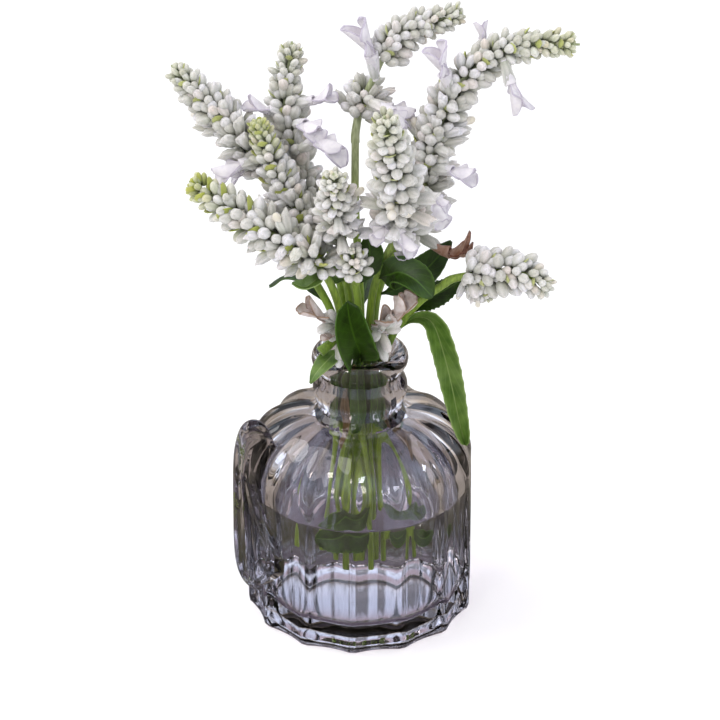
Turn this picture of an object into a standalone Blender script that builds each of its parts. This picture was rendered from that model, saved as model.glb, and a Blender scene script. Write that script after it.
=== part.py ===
"""White salvia in a small fluted glass vase with an ear handle.

Metres, +Z up. The origin is the centre of the vase's flat foot, and the
handle stands out along -X. Lengths in the tables below are in millimetres.
"""

import math

import bpy
import bmesh
from mathutils import Vector

MM = 0.001
GAP = 0.3  # left between pieces that touch
STEPS_PER_KNOT = 24  # how finely a smooth curve is followed between two of its points

# --- Vase ---------------------------------------------------------------
FLUTES = 14  # concave panels around the body, with a ridge between each two
STEPS_PER_FLUTE = 4
WALL_RADIUS = 46.0  # to a ridge, at the shoulder
SHOULDER_HEIGHT = 65.0  # where the upright wall turns into the dome
DOME_RISE = 22.5
DOME_FULLNESS = 0.93  # under 1 bulges the dome beyond a quarter of an ellipse
DOME_FLUTE_DEPTH = 1.7  # at the foot of the dome; it fades towards the neck
DOME_STEPS = 8
DOME_TURNS = (4, 86)  # degrees from level, at the first and last row of the dome
NECK_RADIUS = 17.0
MOUTH_RADIUS = 11.6  # inside the neck
CAVITY_RADIUS = 39.6
CAVITY_SHOULDER = 60.0  # where the inside turns into its own dome
CAVITY_RISE = 21.5
CAVITY_STEPS = 6
CAVITY_TURN = 76  # degrees from level, where the inner dome meets the neck
CAVITY_FLOOR = 8.0
WATER_LEVEL = 54.0
CHANNEL_GAP = 0.4  # round each stem, in the water
CHANNEL_TOP = 25.0  # how far above the water a channel's cutter goes on

# Rows of (radius at a ridge, height, depth of the flutes)
FOOT_ROWS = [(18.0, 0.0, 0.0), (36.0, 0.0, 0.8), (45.9, 0.0, 2.1), (46.8, 1.2, 2.1), (46.6, 30.0, 2.1),
             (WALL_RADIUS, 61.0, 2.1)]
NECK_ROWS = [(NECK_RADIUS, 92.0, 0.2), (18.6, 95.2, 0.0), (19.0, 98.5, 0.0), (18.4, 101.6, 0.0),
             (16.3, 104.6, 0.0), (18.1, 107.8, 0.0), (19.3, 110.8, 0.0), (18.3, 113.6, 0.0),
             (15.6, 115.0, 0.0), (12.8, 113.8, 0.0), (MOUTH_RADIUS, 110.6, 0.0), (MOUTH_RADIUS, 92.0, 0.0)]
FLOOR_ROWS = [(CAVITY_RADIUS, 16.0, 0.0), (38.1, 11.0, 0.0), (33.6, CAVITY_FLOOR, 0.0),
              (14.0, CAVITY_FLOOR, 0.0)]

# --- Handle: a scooped ear of glass in the plane of -X and Z. It is drawn -----
# --- from its root, inside the wall, to its rim, as (distance from the axis, --
# --- height). Both ends of the rim are sunk in the vase ----------------------
EAR_ROOT = [(41.0, 12), (41.0, 20), (41.0, 30), (41.0, 43), (41.0, 55), (40.0, 63), (37.2, 70), (34.0, 75)]
EAR_RIM = [(43.4, 10.5), (49.5, 15), (53, 21.5), (54.6, 32), (54.6, 52), (54, 73), (52.6, 83), (49.9, 89.6),
           (45.5, 91.6), (40.5, 88.5), (37.2, 79)]
# (height, distance of its ridge, half thickness there, half width of its foot
# on the wall, how deep it is scooped from 0 to 1)
EAR_SHAPE = [(11, 44.0, 2.6, 4.0, 0.0), (16, 48.5, 3.6, 6.5, 0.0), (19, 48.5, 4.6, 9.0, 0.5),
             (23.5, 46.8, 7.0, 13.5, 0.9), (32, 46.0, 9.6, 18.5, 1.0), (40, 46.2, 9.2, 19.5, 1.0),
             (46, 47.0, 7.4, 17.5, 1.0), (56, 49.0, 5.8, 10.5, 1.0), (62, 50.0, 5.2, 7.0, 0.9),
             (68, 50.8, 4.8, 6.0, 0.6), (77, 50.0, 4.2, 5.5, 0.0), (92, 46.0, 3.6, 5.0, 0.0)]
EAR_ROWS = 26
EAR_BAND = 3.1  # half thickness of the plain band along the rim
EAR_BAND_WIDTH = 1.4
EAR_WEB = 1.4  # half thickness left at the bottom of the scoop
EAR_FOOT_HEIGHT = 3.2  # how far the foot stands out from the root, to reach the outside of the wall
EAR_ARC_STEPS = 8

# --- Stems: (x, y, z) from the cut end, through the neck, to the flowers --
STEM_RADIUS = 1.7
STEM_FOOT = 1.08  # a stem's radius at its cut end, as a share
STEM_TAPER = 0.2
STEM_ROWS = 15
STEMS = {
    "stem_left_back": [(-16, -3, 33), (-12, -1.6, 72), (-8.2, 0, 104), (-10.5, 1.5, 129), (-18, 6, 148),
                       (-25, 14, 171), (-31, 21, 187)],
    "stem_back": [(-2.5, 8, 31), (-3, 5.4, 70), (-3.4, 3.4, 104), (-4.5, 8, 137), (-8, 15.5, 156),
                  (-11, 21, 167)],
    "stem_top_centre": [(5, 7, 35), (2.6, 4.6, 70), (1.4, 2.2, 104), (2, 5, 137), (3.5, 13.5, 170),
                        (5.5, 18.5, 195)],
    "stem_top_right": [(9.5, -1, 23), (7.4, -0.6, 72), (5.4, -1, 104), (6.5, -1, 135), (13, -1.5, 152),
                       (20, -1.8, 166)],
    "stem_left_front": [(-8, -7.5, 29), (-8, -6.6, 72), (-7, -5, 104), (-11, -7.5, 134), (-15.5, -9, 149),
                        (-21, -9, 159)],
    "stem_front": [(2, -6, 27), (1.4, -5.6, 70), (1.2, -5, 104), (2, -7, 138), (5, -10, 154),
                   (8.5, -15, 167)],
    "stem_right_low": [(7.5, -10.5, 38), (6.6, -8, 72), (5.7, -6.2, 104), (9.5, -10.2, 123), (13, -13.5, 131),
                       (18, -18, 140.5), (26, -23.5, 149)],
    "stem_small_front": [(-3, -11, 25), (-3.2, -9.2, 72), (-3.2, -7.4, 104), (-4.5, -9, 140),
                         (-8, -8.5, 157),
                         (-11, -9, 168)],
    "stem_left_mid": [(-3.5, -0.5, 31), (-3.6, -1.6, 72), (-3.4, -2, 104), (-6, -3.5, 141),
                      (-10, -2.5, 153),
                      (-14.5, -0.5, 164)],
}

# --- Flower heads: stem, axis points after the stem's end, largest radius -
HEADS = {
    "flowers_left_back": ("stem_left_back", [(-43.5, 30.5, 206.5), (-61, 40, 228)], 7.6),
    "flowers_back": ("stem_back", [(-15.5, 27.5, 182), (-17.5, 34, 206), (-13, 37.5, 232)], 8.0),
    "flowers_top_centre": ("stem_top_centre", [(8, 19.5, 208), (12.5, 17.5, 220), (18, 15.5, 232),
                                               (25, 11.5, 240), (41.5, 0.5, 248)], 7.2),
    "flowers_top_right": ("stem_top_right", [(25.5, -2, 179), (27.5, -2.5, 192), (30.5, -3.5, 204),
                                             (38.5, -9, 225), (53.5, -19.5, 239.5), (74.5, -32.5, 242)],
                          7.8),
    "flowers_left_front": ("stem_left_front", [(-36.5, -4.5, 171.5), (-51, 3.5, 182),
                                               (-64, 13, 191.5)], 7.6),
    "flowers_front": ("stem_front", [(4, -28.5, 193.5), (-3, -37.5, 213), (-8.5, -44, 230)], 8.4),
    "flowers_right_low": ("stem_right_low", [(34, -30, 154), (41, -36, 157), (48.5, -45.5, 158.5),
                                             (54, -54, 155.5)], 7.6),
    "flowers_small_front": ("stem_small_front", [(-17.5, -19, 189), (-22.5, -30, 204.5)], 6.6),
    "flowers_left_mid": ("stem_left_mid", [(-24, 6.5, 177), (-29.5, 10.5, 189), (-36, 14.5, 210.5)], 6.6),
}
WHORL_SPACING = 8.5  # between one ring of flowers and the next
STRAIGHT_START = 3.0  # how far a spike goes on in its stem's direction
HEAD_START = 0.45  # a spike's radius at its lower end, as a share of its largest
HEAD_SWELL = 2.6  # how quickly it reaches its largest
HEAD_TAPER = 0.68  # how much narrower its tip is
HEAD_TAPER_FROM = 0.5  # where along it the narrowing begins
BETWEEN_WHORLS = 0.86  # its radius between two whorls

# --- Leaves: stem, height on it, points after the base, greatest width, ---
# --- and the way the upper face looks ------------------------------------
LEAVES = {
    "leaf_drooping": ("stem_right_low", 126, [(16.5, -17, 133), (21.5, -21.5, 132), (26, -26, 121),
                                              (30.5, -28.5, 106), (32.5, -29.5, 92), (33.5, -29.5, 80)], 12,
                      (0.5, -0.6, 0.4)),
    "leaf_upright": ("stem_small_front", 113, [(-4.4, -10.9, 119), (-8.2, -15.4, 127), (-10.8, -16.5, 136),
                                               (-12, -16.8, 143)], 14, (-0.3, -0.9, 0.2)),
    "leaf_dark": ("stem_small_front", 146, [(-2.5, -10.8, 152), (-1, -12.3, 161), (-2.5, -14, 172)], 7,
                  (-0.2, -0.9, 0.1)),
    "leaf_curled": ("stem_front", 149, [(5.7, -15.2, 153.7), (8.5, -20, 157.5), (13, -25.5, 156),
                                        (18, -29.5, 149.5)], 9, (0.1, -0.4, 0.9)),
    "leaf_pointed": ("stem_top_right", 137, [(14.3, -8.6, 143), (25, -9.5, 150), (34, -10.5, 160)], 10,
                     (-0.4, -0.8, 0.5)),
    "leaf_side": ("stem_right_low", 132, [(20.5, -12.5, 137), (28, -13.5, 140), (37, -14, 144)], 8,
                  (-0.1, -0.8, 0.6)),
    "leaf_inner": ("stem_left_mid", 147, [(-12.5, -6, 151), (-16, -4.5, 156), (-19.5, -2.5, 158.5)], 6,
                   (-0.6, -0.6, 0.6)),
    "leaf_cupped": ("stem_left_front", 154, [(-22, -12, 154.5), (-28, -13.5, 152.5), (-33, -13, 155)], 8,
                    (-0.2, -0.5, 0.9)),
    "leaf_at_lip": ("stem_left_front", 119, [(-14, -9, 119.5), (-20, -14, 119), (-24.5, -16, 116.5),
                                             (-27.5, -16.5, 112.5)], 8, (-0.4, -0.6, 0.7)),
    "leaf_back": ("stem_top_centre", 128, [(8, 14, 134), (13, 22, 136), (16, 29, 130)], 10,
                  (0.3, 0.4, 0.8)),
    "leaf_back_left": ("stem_left_back", 134, [(-16, 12, 139), (-23, 19, 141), (-29, 24, 136)], 9,
                       (-0.3, 0.3, 0.9)),
}
SUNK_LEAVES = {
    "leaf_in_water": ("stem_small_front", 44, [(-8, -15.5, 47), (-16, -18.5, 48.5), (-26, -17.5, 48)], 12,
                      (-0.2, -0.6, 0.8)),
    "leaf_in_water_small": ("stem_right_low", 42, [(12, -15, 40), (16.5, -17.5, 39.5), (21, -18, 42)], 7,
                            (0.2, -0.5, 0.8)),
}
LEAF_THICKNESS = 0.6
LEAF_ROWS = 7
LEAF_TIP = 0.5  # half width left at the ends
LEAF_FOLD = 0.22  # how far the edges stand up from the midrib, as a share of the half width

# --- Short clusters of flowers: axis points and the largest radius ---------
CLUSTERS = {
    "flowers_centre": ([(-6.6, -12.2, 150), (-9, -16.5, 158), (-12, -21.5, 168)], 5.2),
    "faded_flowers_left": ([(-12.7, -10.6, 133), (-17, -12.8, 135.5), (-23.5, -13.8, 138)], 3.2),
    "faded_flowers_right": ([(2.2, -8.5, 127), (4.2, -15, 130), (3.8, -20.5, 138)], 3.2),
}
CLUSTER_SWELL = (0.3, 0.75, 1.0, 0.9, 0.75, 0.35)  # radius along it, as shares of its largest
CUT_SHOOT = [(-12.7, -10.0, 128.5), (-17, -12, 126), (-21.8, -12.7, 123.2)]
CUT_SHOOT_RADII = (1.5, 1.7, 1.9, 2.0, 2.1, 2.2)


def clear_scene():
    for item in list(bpy.data.objects):
        bpy.data.objects.remove(item, do_unlink=True)


def material(name, color, roughness, transmission=0.0, ior=1.45):
    made = bpy.data.materials.new(name)
    made.use_nodes = True
    shader = made.node_tree.nodes["Principled BSDF"]
    shader.inputs["Base Color"].default_value = (*color, 1.0)
    shader.inputs["Roughness"].default_value = roughness
    shader.inputs["Metallic"].default_value = 0.0
    shader.inputs["Transmission Weight"].default_value = transmission
    shader.inputs["IOR"].default_value = ior
    return made


def place(name, data, finish):
    item = bpy.data.objects.new(name, data)
    item.data.materials.append(finish)
    bpy.context.scene.collection.objects.link(item)
    return item


def smooth_path(points, count):
    """Evenly spaced points on a smooth curve through the given ones."""
    knots = [Vector(p) for p in points]
    knots = [2 * knots[0] - knots[1]] + knots + [2 * knots[-1] - knots[-2]]
    fine = []
    for a, b, c, d in zip(knots, knots[1:], knots[2:], knots[3:]):
        for step in range(STEPS_PER_KNOT):
            t = step / STEPS_PER_KNOT
            fine.append(0.5 * (2 * b + (c - a) * t + (2 * a - 5 * b + 4 * c - d) * t**2
                               + (3 * b - a - 3 * c + d) * t**3))
    fine.append(knots[-2])
    travelled = [0.0]
    for a, b in zip(fine, fine[1:]):
        travelled.append(travelled[-1] + (b - a).length)
    even = []
    k = 0
    for i in range(count):
        wanted = travelled[-1] * i / (count - 1)
        while k < len(fine) - 2 and travelled[k + 1] < wanted:
            k += 1
        span = travelled[k + 1] - travelled[k]
        even.append(fine[k].lerp(fine[k + 1], (wanted - travelled[k]) / span))
    return even


def path_length(points):
    return sum((b - a).length for a, b in zip(points, points[1:]))


def tube_curve(name, path, radii):
    """A curve with a round bevel whose radius changes along it, in metres."""
    curve = bpy.data.curves.new(name, "CURVE")
    curve.dimensions = "3D"
    curve.bevel_depth = MM
    curve.bevel_resolution = 2
    curve.use_fill_caps = True
    spline = curve.splines.new("POLY")
    spline.points.add(len(path) - 1)
    for point, place_mm, radius in zip(spline.points, path, radii):
        point.co = (*(place_mm * MM), 1.0)
        point.radius = radius
    return curve


def loft(name, rings):
    """A closed mesh over a stack of rings of points."""
    mesh = bmesh.new()
    rows = [[mesh.verts.new(p * MM) for p in ring] for ring in rings]
    count = len(rings[0])
    for low, high in zip(rows, rows[1:]):
        for i in range(count):
            j = (i + 1) % count
            mesh.faces.new((low[i], low[j], high[j], high[i]))
    mesh.faces.new(list(reversed(rows[0])))
    mesh.faces.new(rows[-1])
    bmesh.ops.recalc_face_normals(mesh, faces=mesh.faces)
    data = bpy.data.meshes.new(name)
    mesh.to_mesh(data)
    mesh.free()
    return data


def vase_profile():
    """Rows of the vase from under the foot, over the lip, to the cavity's floor."""
    dome = []
    for step in range(DOME_STEPS):
        turn = math.radians(DOME_TURNS[0] + (DOME_TURNS[1] - DOME_TURNS[0]) * step / (DOME_STEPS - 1))
        radius = NECK_RADIUS + (WALL_RADIUS - NECK_RADIUS) * math.cos(turn) ** DOME_FULLNESS
        height = SHOULDER_HEIGHT + DOME_RISE * math.sin(turn)
        dome.append((radius, height, DOME_FLUTE_DEPTH * radius / WALL_RADIUS))
    inner_dome = []
    for step in range(CAVITY_STEPS):
        turn = math.radians(CAVITY_TURN * (1 - step / (CAVITY_STEPS - 1)))
        radius = MOUTH_RADIUS + (CAVITY_RADIUS - MOUTH_RADIUS) * math.cos(turn)
        inner_dome.append((radius, CAVITY_SHOULDER + CAVITY_RISE * math.sin(turn), 0.0))
    return FOOT_ROWS + dome + NECK_ROWS + inner_dome + FLOOR_ROWS


def vase_ring(radius, height, depth):
    points = []
    for i in range(FLUTES * STEPS_PER_FLUTE):
        across = (i % STEPS_PER_FLUTE) / STEPS_PER_FLUTE
        hollow = depth * (1 - (2 * across - 1) ** 2)
        angle = math.pi + 2 * math.pi * (i / STEPS_PER_FLUTE + 0.5) / FLUTES
        reach = radius - hollow
        points.append(Vector((reach * math.cos(angle), reach * math.sin(angle), height)))
    return points


def welded_copy(curve):
    """A curve's surface as a mesh with its caps sewn to its sides."""
    holder = bpy.data.objects.new(curve.name, curve)
    data = bpy.data.meshes.new_from_object(holder)
    bpy.data.objects.remove(holder)
    mesh = bmesh.new()
    mesh.from_mesh(data)
    bmesh.ops.remove_doubles(mesh, verts=mesh.verts, dist=0.001 * MM)
    bmesh.ops.recalc_face_normals(mesh, faces=mesh.faces)
    mesh.to_mesh(data)
    mesh.free()
    return data


def at_height(table, height):
    """The values of a table's rows at a height, straight between one row and the next."""
    height = min(max(height, table[0][0]), table[-1][0])
    k = next(k for k in range(len(table) - 1) if height <= table[k + 1][0])
    share = (height - table[k][0]) / (table[k + 1][0] - table[k][0])
    return [low + (high - low) * share for low, high in zip(table[k][1:], table[k + 1][1:])]


def ear_ring(root, rim):
    """A slice through the handle as a closed ring: out along one side to the rim and back along the other."""
    ridge, thick, foot, scoop = at_height(EAR_SHAPE, (root.y + rim.y) / 2)
    span = rim.x - root.x
    band = rim.x - min(EAR_BAND_WIDTH, 0.3 * span)
    on_wall = math.sqrt((root.x + min(EAR_FOOT_HEIGHT, 0.25 * span)) ** 2 - foot**2)
    ridge = min(ridge, band - 0.3 * (band - on_wall))
    web = EAR_WEB + (1 - scoop) * (0.5 * (thick + EAR_BAND) - EAR_WEB)
    side = [(rim.x - 0.25 * (rim.x - band), EAR_BAND * 0.72), (band, EAR_BAND),
            (0.35 * ridge + 0.65 * band, web + 0.25), (0.7 * ridge + 0.3 * band,
                                                       web + 0.25 * (thick - web)),
            (ridge, thick), (0.45 * on_wall + 0.55 * ridge, thick + 0.42 * (foot - thick)), (on_wall, foot)]
    turn = math.asin((foot + 0.5) / root.x)
    arc = []
    for step in range(EAR_ARC_STEPS + 1):
        angle = turn * (1 - 2 * step / EAR_ARC_STEPS)
        arc.append((root.x * math.cos(angle), root.x * math.sin(angle)))
    ring = [(rim.x, 0.0)] + side + arc + [(reach, -half) for reach, half in reversed(side)]
    slope = (rim.y - root.y) / span
    return [Vector((-reach, -half, root.y + slope * (max(reach, root.x) - root.x))) for reach, half in ring]


def ear_mesh():
    """The handle, before it is joined to the vase."""
    roots = smooth_path([(*point, 0) for point in EAR_ROOT], EAR_ROWS)
    rims = smooth_path([(*point, 0) for point in EAR_RIM], EAR_ROWS)
    return loft("ear", [ear_ring(root, rim) for root, rim in zip(roots, rims)])


def make_vase(glass):
    vase = place("vase", loft("vase", [vase_ring(*row) for row in vase_profile()]), glass)
    ear = place("ear", ear_mesh(), glass)
    hide_helper(ear)
    joined = vase.modifiers.new("ear", "BOOLEAN")
    joined.operation = "UNION"
    joined.solver = "EXACT"
    joined.object = ear
    vase.data.shade_smooth()
    vase.data.set_sharp_from_angle(angle=math.radians(35))
    return vase


def hide_helper(item):
    item.hide_render = True
    item.display_type = "WIRE"


def stem_path(name):
    return smooth_path(STEMS[name], STEM_ROWS)


def stem_point(name, height):
    """The centre of a stem at a height above the foot, and its direction there."""
    path = smooth_path(STEMS[name], 200)
    k = min(range(1, len(path) - 1), key=lambda i: abs(path[i].z - height))
    return path[k], (path[k + 1] - path[k - 1]).normalized()


def make_stem(name, finish):
    path = stem_path(name)
    radii = [STEM_RADIUS * (STEM_FOOT - STEM_TAPER * i / (len(path) - 1)) for i in range(len(path))]
    return place(name, tube_curve(name, path, radii), finish)


def make_head(name, finish):
    """A spike of flowers: swollen at each whorl and narrowing to its tip."""
    stem, points, largest = HEADS[name]
    before, end = stem_path(stem)[-2:]
    onward = (end - before).normalized()
    path = [end + onward * 2 * GAP, end + onward * STRAIGHT_START] + [Vector(p) for p in points]
    whorls = max(3, round(path_length(path) / WHORL_SPACING))
    path = smooth_path(path, 2 * whorls + 1)
    radii = []
    for i in range(len(path)):
        along = i / (len(path) - 1)
        envelope = min(1.0, HEAD_START + HEAD_SWELL * along)
        envelope *= 1.0 - HEAD_TAPER * max(0.0, along - HEAD_TAPER_FROM) / (1.0 - HEAD_TAPER_FROM)
        radii.append(largest * envelope * (1.0 if i % 2 else BETWEEN_WHORLS))
    return place(name, tube_curve(name, path, radii), finish)


def make_cluster(name, finish):
    points, largest = CLUSTERS[name]
    path = smooth_path(points, len(CLUSTER_SWELL))
    return place(name, tube_curve(name, path, [largest * share for share in CLUSTER_SWELL]), finish)


def leaf_mesh(name, spec, grow):
    """A blade three points wide, folded a little along its midrib; grow widens it on every side."""
    stem, height, points, width, faces = spec
    centre, along_stem = stem_point(stem, height)
    outward = Vector(points[0]) - centre
    outward = (outward - along_stem * outward.dot(along_stem)).normalized()
    start = centre + outward * (STEM_RADIUS + 2 * GAP + LEAF_THICKNESS / 2)
    path = smooth_path([start] + [Vector(p) for p in points], LEAF_ROWS)
    path[0] -= (path[1] - path[0]).normalized() * grow
    path[-1] += (path[-1] - path[-2]).normalized() * grow
    up = Vector(faces).normalized()
    mesh = bmesh.new()
    rows = []
    for i, point in enumerate(path):
        along = i / (LEAF_ROWS - 1)
        ahead = path[min(i + 1, LEAF_ROWS - 1)] - path[max(i - 1, 0)]
        side = ahead.cross(up).normalized()
        face = side.cross(ahead).normalized()
        half = max(LEAF_TIP, 0.5 * width * math.sin(math.pi * (0.04 + 0.96 * along)) ** 0.75) + grow
        fold = face * LEAF_FOLD * half
        rows.append([mesh.verts.new(p * MM) for p in (point - side * half + fold, point,
                                                      point + side * half + fold)])
    for low, high in zip(rows, rows[1:]):
        for i in range(2):
            mesh.faces.new((low[i], low[i + 1], high[i + 1], high[i]))
    data = bpy.data.meshes.new(name)
    mesh.to_mesh(data)
    mesh.free()
    return data


def make_leaf(name, spec, finish, grow=0.0):
    leaf = place(name, leaf_mesh(name, spec, grow), finish)
    blade = leaf.modifiers.new("blade", "SOLIDIFY")
    blade.thickness = (LEAF_THICKNESS + 2 * grow) * MM
    blade.offset = 0.0
    blade.use_even_offset = True
    return leaf


def make_water(finish):
    """The filled part of the cavity, less a close channel for each stem and sunk leaf."""
    rows = [(radius - GAP, height + GAP, 0.0) for radius, height, depth in reversed(FLOOR_ROWS)]
    rows += [(CAVITY_RADIUS - GAP, WATER_LEVEL, 0.0), (FLOOR_ROWS[-1][0] - GAP, WATER_LEVEL, 0.0)]
    water = place("water", loft("water", [vase_ring(*row) for row in rows]), finish)
    cutters = []
    for name in STEMS:
        path = [p for p in stem_path(name) if p.z < WATER_LEVEL + CHANNEL_TOP]
        path[0] -= (path[1] - path[0]).normalized() * GAP
        radius = STEM_RADIUS * STEM_FOOT + CHANNEL_GAP
        curve = tube_curve(name + "_channel", path, [radius] * len(path))
        cutters.append(place(name + "_channel", welded_copy(curve), finish))
    for name, spec in SUNK_LEAVES.items():
        cutters.append(make_leaf(name + "_channel", spec, finish, grow=GAP))
    for cutter in cutters:
        hide_helper(cutter)
        channel = water.modifiers.new(cutter.name, "BOOLEAN")
        channel.operation = "DIFFERENCE"
        channel.solver = "EXACT"
        channel.object = cutter
    return water


def main():
    clear_scene()
    glass = material("pressed_glass", (0.78, 0.76, 0.82), 0.03, transmission=0.9, ior=1.5)
    water = material("water", (0.9, 0.93, 0.95), 0.02, transmission=0.95, ior=1.33)
    stalk = material("green_stem", (0.33, 0.47, 0.10), 0.45)
    leaf = material("dark_leaf", (0.06, 0.20, 0.02), 0.4)
    bloom = material("white_calyx", (0.72, 0.75, 0.68), 0.8)
    faded = material("faded_bloom", (0.62, 0.50, 0.48), 0.8)
    make_vase(glass)
    make_water(water)
    for name in STEMS:
        make_stem(name, stalk)
    for name in HEADS:
        make_head(name, bloom)
    for name, spec in {**LEAVES, **SUNK_LEAVES}.items():
        make_leaf(name, spec, leaf)
    for name in CLUSTERS:
        make_cluster(name, faded if name.startswith("faded") else bloom)
    shoot = smooth_path(CUT_SHOOT, len(CUT_SHOOT_RADII))
    place("cut_shoot", tube_curve("cut_shoot", shoot, CUT_SHOOT_RADII), stalk)


main()
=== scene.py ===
"""Looks for the white salvia in its pressed glass vase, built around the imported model.

Metres, +Z up. The origin is the centre of the vase's foot and the handle stands
out along -X. Lengths in the tables below are in millimetres.
"""

import random
from functools import partial
from math import asin, atan2, cos, inf, pi, radians, sin, sqrt

import bmesh
import bpy
from mathutils import Matrix, Vector


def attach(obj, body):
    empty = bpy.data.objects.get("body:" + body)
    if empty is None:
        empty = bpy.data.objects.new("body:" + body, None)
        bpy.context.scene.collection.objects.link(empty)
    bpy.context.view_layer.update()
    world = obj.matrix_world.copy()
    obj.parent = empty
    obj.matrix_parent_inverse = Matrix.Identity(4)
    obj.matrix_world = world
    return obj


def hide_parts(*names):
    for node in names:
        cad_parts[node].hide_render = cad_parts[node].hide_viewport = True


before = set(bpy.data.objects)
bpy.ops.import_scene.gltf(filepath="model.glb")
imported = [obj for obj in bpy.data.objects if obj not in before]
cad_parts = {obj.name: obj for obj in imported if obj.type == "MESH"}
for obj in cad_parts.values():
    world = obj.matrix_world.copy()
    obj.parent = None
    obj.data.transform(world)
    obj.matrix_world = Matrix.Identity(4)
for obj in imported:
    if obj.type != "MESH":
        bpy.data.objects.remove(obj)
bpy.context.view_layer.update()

MM = 0.001
UP = Vector((0, 0, 1))
MERGE_WITHIN = 0.000001
PATH_STEPS = 24  # from one given point of a path to the next

# --- Vase: rows of (radius at a rib, height, depth of the flutes) -----------
FLUTES = 14
# Where the columns of faces stand across one flute, from rib to rib
FLUTE_COLUMNS = (-1.0, -0.87, -0.72, -0.5, -0.25, 0.0, 0.25, 0.5, 0.72, 0.87)
RIB_EDGE = 0.87  # beyond this the surface is the flat band of a rib
FOOT_ROWS = [(0.4, 1.5, 0.0), (29.0, 1.3, 0.0), (34.0, 0.9, 0.3), (36.5, 0.15, 0.6), (38.0, 0.0, 0.8),
             (44.6, 0.0, 1.7), (45.9, 0.3, 1.9), (46.6, 1.0, 2.0), (46.8, 2.2, 2.1), (46.8, 4.5, 2.1)]
WALL_ROWS = [(46.8, 10, 2.1), (46.7, 18, 2.1), (46.6, 26, 2.1), (46.5, 34, 2.1), (46.4, 42, 2.1),
             (46.3, 49, 2.0), (46.2, 54, 1.8), (46.1, 57.5, 1.5), (46.0, 60.5, 1.2), (46.0, 63, 1.0)]
NECK_ROWS = [(17.1, 89.6, 0.5), (17.2, 91.4, 0.25), (17.9, 93.4, 0.1), (18.7, 95.6, 0), (19.0, 98.0, 0),
             (18.9, 100.0, 0), (18.3, 101.8, 0), (17.2, 103.4, 0), (16.5, 104.9, 0), (16.9, 106.3, 0),
             (18.1, 107.8, 0), (19.0, 109.4, 0), (19.3, 111.0, 0), (19.0, 112.7, 0), (18.2, 114.0, 0),
             (16.9, 114.8, 0), (15.4, 115.0, 0)]
MOUTH_ROWS = [(13.9, 114.6), (12.6, 113.6), (11.9, 112.2), (11.6, 110.0), (11.6, 104.0), (11.6, 98.0),
              (11.6, 92.0)]
CAVITY_ROWS = [(39.6, 50), (39.6, 40), (39.6, 30), (39.6, 20), (39.3, 15.5), (38.2, 12.2), (36.4, 9.9),
               (33.6, 8.4), (29.0, 8.0), (16.0, 8.0), (0.4, 8.0)]
SHOULDER_HEIGHT = 65.0
WALL_RADIUS = 46.0
NECK_RADIUS = 17.0
DOME_RISE = 22.5
DOME_FULLNESS = 0.93
DOME_STEPS = 22
DOME_START = 2  # degrees up from the shoulder
DOME_SWEEP = 83
DOME_FLUTES = 2.9  # depth of the flutes on the dome, which start at half of it
DEEPENING_RISE = 6
FLUTE_TAPER = 1.1  # how fast they fade as the dome narrows
MOUTH_RADIUS = 11.6
CAVITY_RADIUS = 39.6
CAVITY_RISE = 21.5
CAVITY_STEPS = 16
CAVITY_SWEEP = 80
ROOF_DROP = 5  # how far under the shoulder the hollow starts to close
WATER_LEVEL = 54.0
WATER_SIDES = 96
WATER_CREEP = 1.1  # how far it climbs the wall
# Radius and rise over the level, from the wall to the middle
WATER_SURFACE = [(39.3, 0.6), (38.6, 0.2), (37.4, 0.03), (30.0, 0), (15.0, 0), (0.4, 0)]
INTO_GLASS = 0.1  # how far the water reaches into the glass, so that no film of air is between them

# --- Handle: drawn from its root, inside the wall, to its rim, as (distance --
# --- from the axis, height) along -X ----------------------------------------
EAR_ROOT = [(41.0, 12), (41.0, 20), (41.0, 30), (41.0, 43), (41.0, 55), (40.0, 63), (37.2, 70), (34.0, 75)]
EAR_RIM = [(43.4, 10.5), (49.5, 15), (53, 21.5), (54.6, 32), (54.6, 52), (54, 73), (52.6, 83), (49.9, 89.6),
           (45.5, 91.6), (40.5, 88.5), (37.2, 79)]
# (height, distance of its ridge, half thickness there, half width of its foot
# on the wall, how deep it is scooped from 0 to 1)
EAR_SHAPE = [(11, 44.0, 2.6, 4.0, 0.0), (16, 48.5, 3.6, 6.5, 0.0), (19, 48.6, 5.6, 9.0, 0.7),
             (23.5, 47.4, 9.4, 13.5, 1.0), (32, 46.0, 13.6, 18.5, 1.0), (40, 46.2, 13.0, 19.0, 1.0),
             (46, 47.2, 10.2, 16.5, 1.0), (56, 49.2, 6.4, 11.0, 1.0), (62, 50.2, 5.2, 8.0, 0.9),
             (68, 50.8, 4.8, 6.0, 0.6), (77, 50.0, 4.2, 5.5, 0.0), (92, 46.0, 3.6, 5.0, 0.0)]
EAR_ROWS = 72
EAR_SIDES = 72
EAR_BAND = 3.1  # half thickness of the plain band along the rim
EAR_BAND_WIDTH = 1.4
EAR_BAND_MOST = 0.3  # share of a slice that the band takes where the handle is narrow
EAR_EDGE = 0.72  # thickness of the rim's rounded edge, as a share of the band's
EAR_WEB = 1.4  # half thickness left at the bottom of the scoop
EAR_FOOT_HEIGHT = 3.2
EAR_FOOT_MOST = 0.25
EAR_ARC_STEPS = 8
EAR_FLANK = (0.4, 0.85)  # shares of the way from the ridge to the foot's edge
EAR_PAD = 47.6  # radius of the raised pad round the scoop, about the vase's axis
EAR_PAD_FROM = 9.0  # the pad is there where the foot's half width is over this

# --- Stems ------------------------------------------------------------------
STEM_RADIUS = 1.7
STEM_SIDES = 16
STEM_STEPS = 40
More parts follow.
